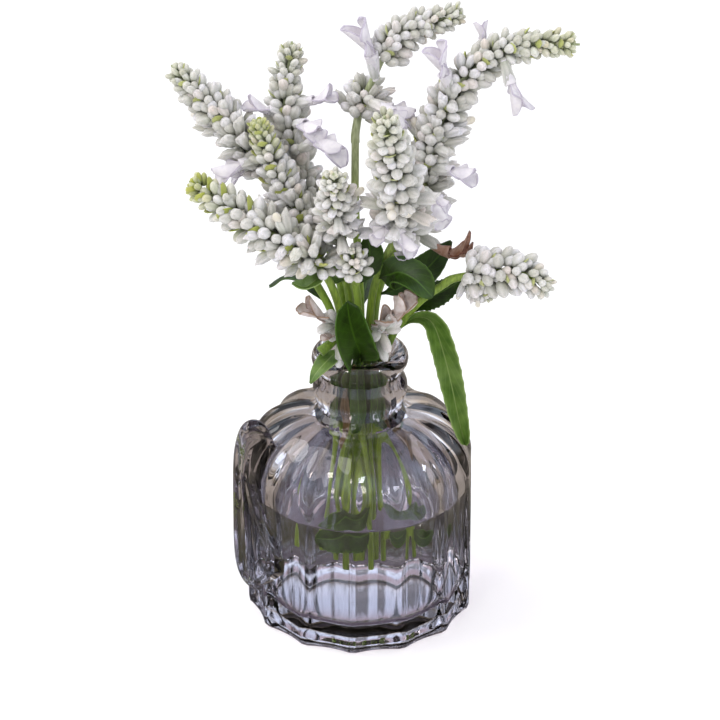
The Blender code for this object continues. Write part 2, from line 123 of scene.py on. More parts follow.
# (x, y, z) from the cut end to the flowers
STEMS = {
    "stem_left_back": [(-16, -3, 33), (-12, -1.6, 72), (-8.2, 0, 104), (-10.5, 1.5, 129), (-18, 6, 148),
                       (-25, 14, 171), (-31, 21, 187)],
    "stem_back": [(-2.5, 8, 31), (-3, 5.4, 70), (-3.4, 3.4, 104), (-4.5, 8, 137), (-8, 15.5, 156),
                  (-11, 21, 167)],
    "stem_top_centre": [(5, 7, 35), (2.6, 4.6, 70), (1.4, 2.2, 104), (2, 5, 137), (3.5, 13.5, 170),
                        (5.5, 18.5, 195)],
    "stem_top_right": [(9.5, -1, 23), (7.4, -0.6, 72), (5.4, -1, 104), (6.5, -1, 135), (13, -1.5, 152),
                       (20, -1.8, 166)],
    "stem_left_front": [(-8, -7.5, 29), (-8, -6.6, 72), (-7, -5, 104), (-11, -7.5, 134), (-15.5, -9, 149),
                        (-21, -9, 159)],
    "stem_front": [(2, -6, 27), (1.4, -5.6, 70), (1.2, -5, 104), (2, -7, 138), (5, -10, 154),
                   (8.5, -15, 167)],
    "stem_right_low": [(7.5, -10.5, 38), (6.6, -8, 72), (5.7, -6.2, 104), (9.5, -10.2, 123), (13, -13.5, 131),
                       (18, -18, 140.5), (26, -23.5, 149)],
    "stem_small_front": [(-3, -11, 25), (-3.2, -9.2, 72), (-3.2, -7.4, 104), (-4.5, -9, 140), (-8, -8.5, 157),
                         (-11, -9, 168)],
    "stem_left_mid": [(-3.5, -0.5, 31), (-3.6, -1.6, 72), (-3.4, -2, 104), (-6, -3.5, 141), (-10, -2.5, 153),
                      (-14.5, -0.5, 164)],
}

# --- Flower heads: stem, axis after its end, largest radius, how green the --
# --- tip is, and the stretches of bare axis as shares of its length ---------
HEADS = {
    "flowers_left_back": ("stem_left_back", [(-43.5, 30.5, 206.5), (-61, 40, 228)], 8.2, 0.35, ()),
    "flowers_back": ("stem_back", [(-15.5, 27.5, 182), (-17.5, 34, 206), (-13, 37.5, 232)], 8.6, 0.25, ()),
    "flowers_top_centre": ("stem_top_centre", [(8, 19.5, 208), (12.5, 17.5, 220), (18, 15.5, 232),
                                               (25, 11.5, 240), (41.5, 0.5, 248)],
                           8.0, 0.2, ((0.0, 0.1), (0.26, 0.42))),
    "flowers_top_right": ("stem_top_right", [(25.5, -2, 179), (27.5, -2.5, 192), (30.5, -3.5, 204),
                                             (38.5, -9, 225), (53.5, -19.5, 239.5), (74.5, -32.5, 242)],
                          8.6, 0.5, ()),
    "flowers_left_front": ("stem_left_front", [(-36.5, -4.5, 171.5), (-51, 3.5, 182), (-64, 13, 191.5)],
                           8.8, 1.0, ()),
    "flowers_front": ("stem_front", [(4, -28.5, 193.5), (-3, -37.5, 213), (-8.5, -44, 230)], 9.6, 0.3, ()),
    "flowers_right_low": ("stem_right_low", [(34, -30, 154), (41, -36, 157), (48.5, -45.5, 158.5),
                                             (54, -54, 155.5)], 9.2, 0.15, ((0.0, 0.19),)),
    "flowers_small_front": ("stem_small_front", [(-17.5, -19, 189), (-22.5, -30, 204.5)], 7.4, 0.3, ()),
    "flowers_left_mid": ("stem_left_mid", [(-24, 6.5, 177), (-29.5, 10.5, 189), (-36, 14.5, 210.5)],
                         7.6, 0.8, ()),
    "flowers_centre": (None, [(-6.6, -12.2, 150), (-9, -16.5, 158), (-12, -21.5, 168)],
                       6.8, 0.2, ((0.0, 0.4),)),
}

# --- Open flowers, by head: start of the calyx, bend, and end of the lips ---
BLOOMS = {
    "flowers_top_centre": [
        ((11.5, 12.5, 221.5), (9, 11.5, 232.5), (0.5, 13, 245)),
        ((8, 14, 210), (16, 6.5, 211.5), (23.5, 1.5, 208.5)),
        ((8, 10, 214), (13, -1, 213), (15.5, -4, 205)),
    ],
    "flowers_top_right": [
        ((34, -9.5, 218.5), (29, -12, 230), (23.5, -11.5, 241)),
        ((46.5, -10, 233), (47.5, -6.5, 238), (46.5, -3.5, 245.5)),
        ((48.5, -22, 236), (49.5, -26.5, 228), (53, -30, 216.5)),
        ((26.5, -8.5, 191), (31, -17, 192.5), (37.5, -24, 192)),
        ((22, -10, 184), (23, -19, 181), (24.5, -25, 174.5)),
        ((16.5, -9, 163.5), (13, -14, 162.5), (9.5, -19, 162)),
    ],
    "flowers_front": [
        ((11, -30.5, 190.5), (16, -34.5, 190.5), (20, -38, 188)),
        ((6, -22, 177), (-0.5, -25.5, 177.5), (-6, -28, 174.5)),
        ((3, -24, 178), (5, -30, 176), (8, -35.5, 169.5)),
    ],
    "flowers_back": [
        ((-19.5, 31.5, 205), (-26, 30, 208.5), (-34.5, 31, 213.5)),
        ((-16, 30.5, 209), (-9.5, 23.5, 212.5), (-3.5, 18.5, 217.5)),
        ((-17, 20, 194.5), (-13.5, 9.5, 201.5), (-5.5, 2, 197)),
        ((-17, 25, 203), (-16, 16, 206.5), (-13.5, 7, 205)),
    ],
    "flowers_left_back": [
        ((-34, 16, 195), (-43, 15.5, 194), (-53.5, 17.5, 190)),
        ((-30, 20, 190), (-38, 22, 189.5), (-45, 23, 186)),
    ],
}
FADED_BLOOMS = {
    "faded_flowers_left": [((-12.7, -10.6, 133), (-19, -11.5, 137), (-28, -12, 146)),
                           ((-14, -11, 129), (-17, -13, 130), (-21.5, -14.5, 131))],
    "faded_flowers_right": [((2.2, -8.5, 127), (4.2, -15, 130), (2.2, -21.5, 141)),
                            ((3.8, -18, 132), (5, -24, 140), (8, -27.5, 149))],
}
# Foot and tip of each withered calyx
FADED_BUDS = {
    "faded_flowers_left": [((-14, -11, 133), (-17, -13, 128.5)), ((-14.5, -11, 133), (-13.5, -15, 126.5)),
                           ((-16, -12, 134.5), (-22, -13.5, 133)), ((-12.8, -10.4, 131), (-11, -14, 124)),
                           ((-12.5, -10.5, 128), (-14, -14, 120)),
                           ((-11.5, -10.5, 124), (-10.5, -14.5, 117.5)),
                           ((-12, -10.5, 124), (-14.5, -14, 117)), ((-15, -11, 134.5), (-17.5, -13, 139.5))],
    "faded_flowers_right": [((3.5, -15, 130), (1.5, -19.5, 134.5)), ((4.2, -16, 130), (8, -20, 134)),
                            ((3, -13, 128), (4.5, -18, 122)), ((3, -12, 128), (-0.5, -16.5, 127)),
                            ((4, -14, 129), (8.5, -17.5, 129.5)), ((3, -11, 124), (4.5, -15, 116.5))],
}
WITHERED_BLOOMS = {"flowers_top_right": [((22, -3.5, 162), (32, -14, 157), (38, -19.5, 164.5))]}
# Short spikes that branch off a head: axis, largest radius and how green the tip is
SIDE_SPIKES = {"flowers_right_low": ([(32, -28.5, 153.5), (35.5, -33, 151.5), (37.5, -38.5, 147)], 5.6, 0.3)}
BLOOM_CALYX_WIDTH = 9.5
FADED_BUD_WIDTH = 6.2
# Shapes of one bud or flower, as rows of (radius, height) in shares of its length
SHUT_CALYX_ROWS = [(0.07, 0.0), (0.2, 0.1), (0.29, 0.32), (0.33, 0.58), (0.28, 0.83), (0.12, 0.98)]
OPEN_CALYX_ROWS = [(0.06, 0.0), (0.18, 0.12), (0.23, 0.5), (0.3, 0.84), (0.25, 1.0), (0.05, 0.93)]
PETAL_BUD_ROWS = [(0.08, 0.0), (0.13, 0.3), (0.2, 0.6), (0.23, 0.8), (0.16, 0.94), (0.05, 1.0)]
THROAT_ROWS = [(0.035, 0.0), (0.05, 0.2), (0.075, 0.36), (0.1, 0.5)]
ANTHER_ROWS = [(0.004, 0.0), (0.011, 0.015), (0.011, 0.04), (0.004, 0.055)]
HOOD_WIDTHS = (0.07, 0.09, 0.12, 0.15, 0.17, 0.175, 0.165, 0.13, 0.07)
LIP_WIDTHS = (0.08, 0.1, 0.16, 0.27, 0.32, 0.28, 0.2, 0.22, 0.28, 0.28, 0.22, 0.12)
PETAL_THICKNESS = 0.028
BRACT_THICKNESS = 0.04
# How a spike grows
SPIKE_STEPS = 200
USUAL_RADIUS = 8  # buds have their full size on a spike this wide
WHORL_SPACING = 5.8  # between one ring of buds and the next, where a spike is widest
BUD_LENGTH = 7.3
BUD_REACH = 2.8  # how far off the axis a bud starts
LEAN_LOSS = 22  # degrees that buds lean less at the tip than at the foot
RIPE_UNTIL = 0.45  # share of the length up to which calyces are open
RIPE_CHANCE = 0.4
PETAL_CHANCE = 0.1  # that an open calyx shows a folded corolla
GREENER_CHANCE = 0.2
# The two tiers of buds in a ring: lean from the axis in degrees, size, turn in
# buds, and how far on along the axis.
BUD_TIERS = ((70, 1.0, 0.0, -0.4), (46, 0.84, 0.5, 1.8))
TIP_BUDS = 5
TIP_START = 188  # the step at which they grow

# --- Leaves -----------------------------------------------------------------
LEAF_ACROSS = 10
LEAF_ALONG = 40
LEAF_THICKNESS = 0.4
LEAF_STALK = 0.45  # half its width
LEAF_TEETH = 13
LEAF_WAVE = 0.08  # share of the width that a blade waves by
# Stem, height on it, points after the base, width, the way the upper face
# looks, fold, teeth, how pointed, and green
LEAVES = {
    "leaf_drooping": ("stem_right_low", 126, [(16.5, -17, 133), (21.5, -21.5, 132), (24.5, -25.5, 121),
                                              (27.5, -28, 106), (30, -29.5, 92), (33, -30, 79.5)], 13,
                      (-0.3, -0.9, 0.4), 0.9, 0.6, 0.45, "fresh"),
    "leaf_upright": ("stem_small_front", 113, [(-4.4, -10.9, 119), (-8.2, -15.4, 127), (-10.8, -16.5, 136),
                                               (-12.2, -17, 145)], 20,
                     (-0.3, -0.9, 0.2), 1.0, 0.0, 0.22, "dark"),
    "leaf_dark": ("stem_small_front", 146, [(-2.5, -10.8, 152), (-1, -12.3, 161), (-2.5, -14, 172)], 12,
                  (-0.2, -0.9, 0.1), 0.3, 0.3, 0.7, "dark"),
    "leaf_curled": ("stem_front", 149, [(5.7, -15.2, 152.5), (8.5, -20, 155), (13, -25.5, 153),
                                        (18, -29.5, 147)], 15, (0.1, -0.85, 0.5), 0.5, 0.3, 0.5, "dark"),
    "leaf_pointed": ("stem_top_right", 137, [(14.3, -8.6, 143), (25, -9.5, 150), (34, -10.5, 160)], 14,
                     (-0.4, -0.8, 0.5), 0.4, 0.2, 0.7, "dark"),
    "leaf_side": ("stem_right_low", 132, [(20.5, -12.5, 137), (28, -13.5, 140), (37, -14, 144)], 12,
                  (-0.1, -0.8, 0.6), 0.4, 1.0, 0.6, "dark"),
    "leaf_inner": ("stem_left_mid", 147, [(-12.5, -6, 151), (-16, -4.5, 156), (-19.5, -2.5, 158.5)], 7,
                   (-0.6, -0.6, 0.6), 0.4, 0.2, 0.8, "fresh"),
    "leaf_cupped": ("stem_left_front", 154, [(-22, -12, 154.5), (-28, -13.5, 152.5), (-33, -13, 155)], 9,
                    (-0.2, -0.5, 0.9), 0.8, 0.2, 0.6, "fresh"),
    "leaf_at_lip": ("stem_left_front", 119, [(-14, -9, 119.5), (-20, -14, 119), (-24.5, -16, 116.5),
                                             (-27.5, -16.5, 112.5)], 8,
                    (-0.4, -0.6, 0.7), 0.3, 0.4, 0.7, "fresh"),
    "leaf_back": ("stem_top_centre", 128, [(8, 14, 134), (13, 22, 136), (16, 29, 130)], 11, (0.3, 0.4, 0.8),
                  0.4, 0.5, 0.8, "dark"),
    "leaf_back_left": ("stem_left_back", 134, [(-16, 12, 139), (-23, 19, 141), (-29, 24, 136)], 10,
                       (-0.3, 0.3, 0.9), 0.4, 0.5, 0.8, "dark"),
    "leaf_in_water": ("stem_small_front", 43, [(-8, -15.5, 44), (-16, -18.5, 44.5), (-26, -17.5, 45.5)], 15,
                      (-0.2, -0.95, 0.35), 0.3, 0.9, 0.5, "dark"),
    "leaf_in_water_small": ("stem_right_low", 42, [(12, -15, 38), (16.5, -17.5, 37.5), (21, -18, 40)], 9,
                            (0.2, -0.9, 0.4), 0.3, 0.8, 0.5, "dark"),
}
SCRAP_SHAPE = (0.7, 0.8, 0.4)  # fold, teeth and how pointed
SCRAP_CLEARANCE = 0.5
SCRAP_STEP = 1.6  # a little more than the length of one face of a scrap
# Scraps of withered leaf that hang down their stems in the neck: stem, height
# of the base, points, width and colour
SCRAPS = [
    ("stem_front", 116, [(1.5, -9.2, 111), (3, -10.2, 101), (2, -10.2, 91), (6, -12, 78)], 8, "dark"),
    ("stem_right_low", 115, [(8.6, -6, 110), (9.8, -4.4, 101), (9, -5, 90), (14, -10, 77)], 7.5, "dark"),
    ("stem_small_front", 118, [(-4.8, -9.4, 111), (-5, -9.8, 102), (-4.6, -9.8, 92), (-8, -14, 81)], 8,
     "dark"),
    ("stem_left_back", 114, [(-9.6, -3, 109), (-10.2, -2, 100), (-9.8, -2, 90), (-16, -4, 80)], 7, "dark"),
    ("stem_top_right", 112, [(8.2, 3, 107), (9, 4, 98), (8.6, 4, 87), (13, 7, 76)], 7, "dark"),
    ("stem_front", 96, [(4.5, -8.5, 92), (8, -11.5, 86), (12.5, -17, 78), (13, -20, 71)], 7, "dry"),
    ("stem_left_front", 102, [(-8.6, -7, 98), (-8, -7.4, 91), (-11, -11, 83), (-13, -14, 77)], 5, "dry"),
    ("stem_left_mid", 110, [(-1, 0.5, 105), (-0.6, -0.5, 97), (-1, -3, 88), (-2, -6, 78)], 7, "dark"),
]
CUT_SHOOT = [(-12.7, -10.0, 128.5), (-17, -12, 126), (-21.8, -12.7, 123.2)]
SHOOT_STEPS = 12

# --- Camera and light -------------------------------------------------------
AZIMUTH = radians(-22)
ELEVATION = radians(27.5)
DISTANCE = 0.876
AIM = Vector((0, 0, 0.1094))
SENSOR_WIDTH = 36
LENS = 110
LIGHT_AIM = Vector((0, 0, 0.08))
SUN_PLACE = (-0.8, 0.45, 1.2)
FLOOR_GAP = 0.0003

# --- Materials --------------------------------------------------------------
MIX = {"data_type": "RGBA"}
MULTIPLY = {"data_type": "RGBA", "blend_type": "MULTIPLY"}
# How many times a pattern repeats in a metre, and so how large it is
GLASS_WAVES = 45.0  # 22 mm
WOOL_TUFTS = 2600.0  # 0.4 mm
PETAL_CLOUDS = 350.0  # 3 mm
PETAL_CRINKLES = 1400.0  # 0.7 mm
LEAF_WAX = 75.0  # 13 mm
LEAF_MOTTLE = 220.0  # 4.5 mm
LEAF_GRAIN = 1500.0  # 0.7 mm
STEM_RIBS = (1400, 1400, 90)  # 0.7 mm across the stem and 11 mm along it
SIDE_VEINS = 9.0  # pairs of them along a leaf
VEIN_SLANT = 5.0  # how steeply they climb to the rim


def linear(hex_colour):
    """An sRGB hex colour as linear red, green, blue and alpha."""
    parts = [int(hex_colour[i:i + 2], 16) / 255 for i in (1, 3, 5)]
    return tuple(c / 12.92 if c <= 0.04045 else ((c + 0.055) / 1.055) ** 2.4 for c in parts) + (1.0,)


def add_node(tree, kind, inputs=None, stops=(), **settings):
    """Adds a node. An input takes a socket, a node's first output, a hex colour or a plain value."""
    made = tree.nodes.new("ShaderNode" + kind)
    for name, value in settings.items():
        setattr(made, name, value)
    while stops and len(made.color_ramp.elements) < len(stops):
        made.color_ramp.elements.new(1.0)
    for place, (position, colour) in enumerate(stops):
        made.color_ramp.elements[place].position = position
        made.color_ramp.elements[place].color = linear(colour)
    for name, value in (inputs or {}).items():
        if isinstance(value, bpy.types.Node):
            value = value.outputs[0]
        if isinstance(value, bpy.types.NodeSocket):
            tree.links.new(value, made.inputs[name])
        else:
            made.inputs[name].default_value = linear(value) if isinstance(value, str) else value
    return made


def new_material(name):
    made = bpy.data.materials.new(name)
    made.use_nodes = True
    made.node_tree.nodes.clear()
    node = partial(add_node, made.node_tree)
    return made, node, node("TexCoord").outputs


def clear_material(name, tint, ior, absorbed, density):
    """Glass or water: smooth, slightly wavy, and it lets soft light through to what stands in it."""
    made, node, coords = new_material(name)
    drift = node("TexNoise", {"Scale": GLASS_WAVES, "Detail": 1.0, "Vector": coords["Object"]})
    bump = node("Bump", {"Strength": 0.08, "Distance": 0.0005, "Height": drift})
    body = node("BsdfPrincipled", {"Base Color": tint, "Roughness": 0.0, "IOR": ior,
                                   "Transmission Weight": 1.0, "Normal": bump})
    lamps = node("BsdfTransparent", {"Color": tint})
    path = node("LightPath").outputs
    mixed = node("MixShader", {0: path["Is Shadow Ray"], 1: body, 2: lamps})
    inside = node("VolumeAbsorption", {"Color": absorbed, "Density": density})
    node("OutputMaterial", {"Surface": mixed, "Volume": inside})
    return made


def calyx_material():
    """Felted calyx: short wool over ribs, dull and pale, grey-green at its foot, greener if young."""
    made, node, coords = new_material("felted_calyx")
    growth = node("Attribute", attribute_name="growth").outputs["Vector"]
    along, young, tint = node("SeparateXYZ", {"Vector": growth}).outputs
    ripe = node("ValToRGB", {"Fac": along},
                stops=[(0.0, "#8b926f"), (0.2, "#b6b9ab"), (0.5, "#dcddd9"), (1.0, "#ebe9ec")])
    green = node("ValToRGB", {"Fac": along}, stops=[(0.0, "#7f9418"), (0.45, "#a9b730"), (1.0, "#c6cc66")])
    tone = node("ValToRGB", {"Fac": tint},
                stops=[(0.0, "#dbd9d2"), (0.4, "#efedea"), (0.8, "#fbf9ff"), (1.0, "#f6ebe4")])
    rib = node("Attribute", attribute_name="rib").outputs["Fac"]
    on_rib = node("MapRange", {"Value": rib, "From Min": -1.0})
    stripe = node("ValToRGB", {"Fac": on_rib}, stops=[(0.1, "#bfc3b8"), (0.6, "#ffffff")])
    wool = node("TexNoise", {"Scale": WOOL_TUFTS, "Detail": 3.0, "Vector": coords["Object"]})
    flecks = node("ValToRGB", {"Fac": wool}, stops=[(0.3, "#e4e7e0"), (0.65, "#ffffff")])
    body = node("Mix", {0: young, 6: ripe, 7: green}, **MIX).outputs[2]
    for share, layer in ((1.0, tone), (0.75, stripe), (0.8, flecks)):
        body = node("Mix", {0: share, 6: body, 7: layer}, **MULTIPLY).outputs[2]
    bump = node("Bump", {"Strength": 0.5, "Distance": 0.0003, "Height": wool})
    felt = node("BsdfPrincipled", {
        "Base Color": body, "Roughness": 0.85, "Sheen Weight": 0.35, "Sheen Roughness": 0.6,
        "Subsurface Weight": 0.3, "Subsurface Radius": (0.002, 0.0018, 0.0016), "Subsurface Scale": 1.0,
        "Normal": bump})
    node("OutputMaterial", {"Surface": felt})
    return made


def petal_material(name, pale, white, edge):
    """Thin petal: crinkled and soft, light passes through it, and it is darker along its rim."""
    made, node, coords = new_material(name)
    growth = node("Attribute", attribute_name="growth").outputs["Vector"]
    cloud = node("TexNoise", {"Scale": PETAL_CLOUDS, "Detail": 3.0, "Vector": coords["Object"]})
    body = node("ValToRGB", {"Fac": cloud}, stops=[(0.35, pale), (0.65, white)])
    rim = node("MapRange", {"Value": node("SeparateXYZ", {"Vector": growth}), "From Min": 0.55})
    body = node("Mix", {0: rim, 6: body, 7: edge}, **MIX).outputs[2]
    crinkle = node("TexNoise", {"Scale": PETAL_CRINKLES, "Detail": 2.0, "Vector": coords["Object"]})
    bump = node("Bump", {"Strength": 0.3, "Distance": 0.0002, "Height": crinkle})
    skin = node("BsdfPrincipled", {"Base Color": body, "Roughness": 0.6, "Sheen Weight": 0.2,
                                   "Normal": bump})
    glow = node("BsdfTranslucent", {"Color": body})
    mixed = node("MixShader", {0: 0.3, 1: skin, 2: glow})
    node("OutputMaterial", {"Surface": mixed})
    return made


def leaf_material(name, dark, light, vein):
    """Leaf blade: waxy skin in paler patches, with a pale rim that is painted highlight, and veins that show
    as faint ridges.
    """
    made, node, coords = new_material(name)
    over, up = node("SeparateXYZ", {"Vector": coords["UV"]}).outputs[:2]
    off_middle = node("Math", {0: over, 1: 0.5}, operation="SUBTRACT")
    across = node("Math", {0: off_middle}, operation="ABSOLUTE")
    slant = node("Math", {0: across, 1: VEIN_SLANT}, operation="MULTIPLY")
    rise = node("Math", {0: up, 1: SIDE_VEINS}, operation="MULTIPLY")
    phase = node("Math", {0: rise, 1: slant}, operation="SUBTRACT")
    waves = node("Math", {0: phase, 1: 0.5}, operation="PINGPONG")
    side = node("MapRange", {"Value": waves, "From Max": 0.09, "To Min": 0.35, "To Max": 0.0})
    middle = node("MapRange", {"Value": across, "From Min": 0.012, "From Max": 0.045, "To Min": 1.0,
                               "To Max": 0.0})
    veins = node("Math", {0: side, 1: middle}, operation="MAXIMUM")
    mottle = node("TexNoise", {"Scale": LEAF_MOTTLE, "Detail": 4.0, "Vector": coords["Object"]})
    body = node("ValToRGB", {"Fac": mottle}, stops=[(0.35, dark), (0.7, light)])
    wax = node("TexNoise", {"Scale": LEAF_WAX, "Detail": 2.0, "Vector": coords["Object"]})
    patches = node("MapRange", {"Value": wax, "From Min": 0.45, "From Max": 0.75, "To Max": 0.4})
    # Painted highlight: the edge of the blade is lightened as if lit along its rim.
    rim = node("MapRange", {"Value": across, "From Min": 0.44, "From Max": 0.49, "To Max": 0.8})
    for layer in (patches, rim, veins):
        body = node("Mix", {0: layer, 6: body, 7: vein}, **MIX).outputs[2]
    grain = node("TexNoise", {"Scale": LEAF_GRAIN, "Detail": 2.0, "Vector": coords["Object"]})
    relief = node("Math", {0: veins, 1: -1.0, 2: grain}, operation="MULTIPLY_ADD")
    bump = node("Bump", {"Strength": 0.35, "Distance": 0.0003, "Height": relief})
    skin = node("BsdfPrincipled", {"Base Color": body, "Roughness": 0.42, "Normal": bump})
    glow = node("BsdfTranslucent", {"Color": body})
    mixed = node("MixShader", {0: 0.18, 1: skin, 2: glow})
    node("OutputMaterial", {"Surface": mixed})
    return made


def stem_material():
    """Square herb stem with fine ribs: green under water, darker in the neck from painted shade over slight
    rot, and paler and downy upwards.
    """
    made, node, coords = new_material("salvia_stem")
    level = node("SeparateXYZ", {"Vector": coords["Object"]}).outputs[2]
    height = node("MapRange", {"Value": level, "From Min": 0.06, "From Max": 0.20})
    # The dark dip from 0.16 to 0.42, in the neck of the vase, is painted shade over slight rot.
    body = node("ValToRGB", {"Fac": height}, stops=[
        (0.0, "#86a232"), (0.16, "#6f8a26"), (0.24, "#455a14"), (0.42, "#5c7a18"), (0.55, "#86a42c"),
        (0.7, "#90a84a"), (0.85, "#a1ab72"), (1.0, "#b6be98")])
    long_grain = node("Mapping", {"Vector": coords["Object"], "Scale": STEM_RIBS})
    ribs = node("TexNoise", {"Scale": 1.0, "Detail": 2.0, "Vector": long_grain})
    streak = node("ValToRGB", {"Fac": ribs}, stops=[(0.35, "#b9bfa8"), (0.65, "#ffffff")])
    body = node("Mix", {0: 0.8, 6: body, 7: streak}, **MULTIPLY).outputs[2]
    bump = node("Bump", {"Strength": 0.4, "Distance": 0.0003, "Height": ribs})
    skin = node("BsdfPrincipled", {"Base Color": body, "Roughness": 0.5, "Sheen Weight": 0.1,
                                   "Normal": bump})
    node("OutputMaterial", {"Surface": skin})
    return made


# --- Modelling helpers ------------------------------------------------------
def only(item):
    bpy.ops.object.select_all(action="DESELECT")
    item.select_set(True)
    bpy.context.view_layer.objects.active = item


def smooth_path(points, count, closed=False):
    """Evenly spaced points, in millimetres, on a smooth curve through the given ones."""
    knots = [Vector(p) for p in points]
    if closed:
        knots = [knots[-1]] + knots + knots[:2]
    else:
        knots = [2 * knots[0] - knots[1]] + knots + [2 * knots[-1] - knots[-2]]
    fine = []
    for a, b, c, d in zip(knots, knots[1:], knots[2:], knots[3:]):
        for step in range(PATH_STEPS):
            t = step / PATH_STEPS
            fine.append(0.5 * (2 * b + (c - a) * t + (2 * a - 5 * b + 4 * c - d) * t**2
                               + (3 * b - a - 3 * c + d) * t**3))
    fine.append(knots[-2])
    travelled = [0.0]
    for a, b in zip(fine, fine[1:]):
        travelled.append(travelled[-1] + (b - a).length)
    even = []
    k = 0
    for i in range(count):
        wanted = travelled[-1] * i / (count if closed else count - 1)
        while k < len(fine) - 2 and travelled[k + 1] < wanted:
            k += 1
        span = travelled[k + 1] - travelled[k]
        even.append(fine[k].lerp(fine[k + 1], (wanted - travelled[k]) / span))
    return even


def draw_on(rows):
    """In edit mode, draws the selected ring on through rows of (radius, height), in metres."""
    for (radius, height), (next_radius, next_height) in zip(rows, rows[1:]):
        bpy.ops.mesh.extrude_edges_move(TRANSFORM_OT_translate={"value": (0, 0, next_height - height)})
        share = next_radius / radius
        bpy.ops.transform.resize(value=(share, share, 1), center_override=(0, 0, next_height))


def close_ring():
    """In edit mode, closes the selected ring with faces that meet in its centre."""
    bpy.ops.mesh.extrude_edges_move(TRANSFORM_OT_translate={"value": (0, 0, 0)})
    bpy.ops.mesh.merge(type="CENTER")


def choose(wanted):
    """In edit mode, selects the vertices whose place passes the test, and what lies between them."""
    mesh = bmesh.from_edit_mesh(bpy.context.edit_object.data)
    for vertex in mesh.verts:
        vertex.select = wanted(vertex.co)
    mesh.select_mode = {"VERT"}
    mesh.select_flush_mode()
    bmesh.update_edit_mesh(bpy.context.edit_object.data)


def outward_normals(item, merged=False):
    """Turns all faces outwards, after what lies in one place is merged if asked."""
    only(item)
    bpy.ops.object.mode_set(mode="EDIT")
    bpy.ops.mesh.select_all(action="SELECT")
    if merged:
        bpy.ops.mesh.remove_doubles(threshold=MERGE_WITHIN)
    bpy.ops.mesh.normals_make_consistent(inside=False)
    bpy.ops.object.mode_set(mode="OBJECT")


def drawn(name, rows, sides, start_closed=True, end_closed=True):
    """A round shape drawn up from a circle through rows of (radius, height), in metres."""
    bpy.ops.object.select_all(action="DESELECT")
    bpy.ops.mesh.primitive_circle_add(vertices=sides, radius=rows[0][0], location=(0, 0, rows[0][1]))
    made = bpy.context.object
    made.name = name
    bpy.ops.object.transform_apply()
    bpy.ops.object.mode_set(mode="EDIT")
    bpy.ops.mesh.select_mode(type="VERT")
    bpy.ops.mesh.select_all(action="SELECT")
    if start_closed:
        close_ring()
        choose(lambda place: place.xy.length > rows[0][0] * 0.5)
    draw_on(rows)
    if end_closed:
        close_ring()
    bpy.ops.object.mode_set(mode="OBJECT")
    outward_normals(made)
    return made


def flat_grid(name, across, along):
    """A square of faces from -0.5 to 0.5, whose vertices are then laid out as a blade."""
    bpy.ops.object.select_all(action="DESELECT")
    bpy.ops.mesh.primitive_grid_add(x_subdivisions=across, y_subdivisions=along, size=1)
    made = bpy.context.object
    made.name = name
    return made


def spread(item, name, value_at):
    """Stores one value per vertex under a name; value_at gives it from the vertex."""
    stored = item.data.attributes.get(name) or item.data.attributes.new(name, "FLOAT_VECTOR", "POINT")
    for vertex, value in zip(item.data.vertices, stored.data):
        value.vector = (value_at(vertex), 0, 0)


def set_growth(item, young, tint):
    """Says how green and young a part is, and which of the felt's tones it has, beside where it grew."""
    for value in item.data.attributes["growth"].data:
        value.vector = (value.vector[0], young, tint)


def apply_modifiers(item):
    only(item)
    for modifier in list(item.modifiers):
        bpy.ops.object.modifier_apply(modifier=modifier.name)


def thicken(item, thickness, offset=0.0):
    """Gives a sheet its thickness, on both sides of it or, with an offset of -1, behind it."""
    skin = item.modifiers.new("thickness", "SOLIDIFY")
    skin.thickness = thickness
    skin.offset = offset
    apply_modifiers(item)


def dress(item, finish, degrees):
    """Gives a piece its material, and smooths its faces where they meet at less than so many degrees."""
    only(item)
    item.data.materials.append(finish)
    bpy.ops.object.shade_smooth_by_angle(angle=radians(degrees))
    return item


def copy_of(template, matrix):
    twin = template.copy()
    twin.data = template.data.copy()
    twin.data.transform(matrix)
    bpy.context.scene.collection.objects.link(twin)
    return twin


def joined(name, parts):
    bpy.ops.object.select_all(action="DESELECT")
    for part in parts:
        part.select_set(True)
    bpy.context.view_layer.objects.active = parts[0]
    if len(parts) > 1:
        bpy.ops.object.join()
    made = bpy.context.object
    made.name = name
    return made


def aimed(base, direction, back, width, length):
    """Carries a template that points along +Z with its back to +Y; base is in millimetres."""
    ahead = Vector(direction).normalized()
    side = Vector(back).cross(ahead)
    side = side.normalized() if side.length > 0.01 else ahead.orthogonal().normalized()
    behind = ahead.cross(side)
    turned = Matrix((side * width, behind * width, ahead * length)).transposed().to_4x4()
    return Matrix.Translation(Vector(base) * MM) @ turned


def tube(name, path, radii, section=None):
    """A mesh tube along a path in millimetres; section is a curve object for its cross-section."""
    curve = bpy.data.curves.new(name, "CURVE")
    curve.dimensions = "3D"
    curve.use_fill_caps = True
    if section:
        curve.bevel_mode = "OBJECT"
        curve.bevel_object = section
    else:
        curve.bevel_depth = MM
        curve.bevel_resolution = 3
    spline = curve.splines.new("POLY")
    spline.points.add(len(path) - 1)
    for point, place, radius in zip(spline.points, path, radii):
        point.co = (*(place * MM), 1.0)
        point.radius = radius
    item = bpy.data.objects.new(name, curve)
    bpy.context.scene.collection.objects.link(item)
    only(item)
    bpy.ops.object.convert(target="MESH")
    item = bpy.context.object
    outward_normals(item, merged=True)
    return item


# --- Vase -------------------------------------------------------------------
def dome_rows():
    rows = []
    for step in range(DOME_STEPS):
        turn = radians(DOME_START + DOME_SWEEP * step / (DOME_STEPS - 1))
        radius = NECK_RADIUS + (WALL_RADIUS - NECK_RADIUS) * cos(turn) ** DOME_FULLNESS
        height = SHOULDER_HEIGHT + DOME_RISE * sin(turn)
        deepening = 0.5 + 0.5 * min(1.0, (height - SHOULDER_HEIGHT) / DEEPENING_RISE)
        rows.append((radius, height, DOME_FLUTES * deepening * (radius / WALL_RADIUS) ** FLUTE_TAPER))
    return rows


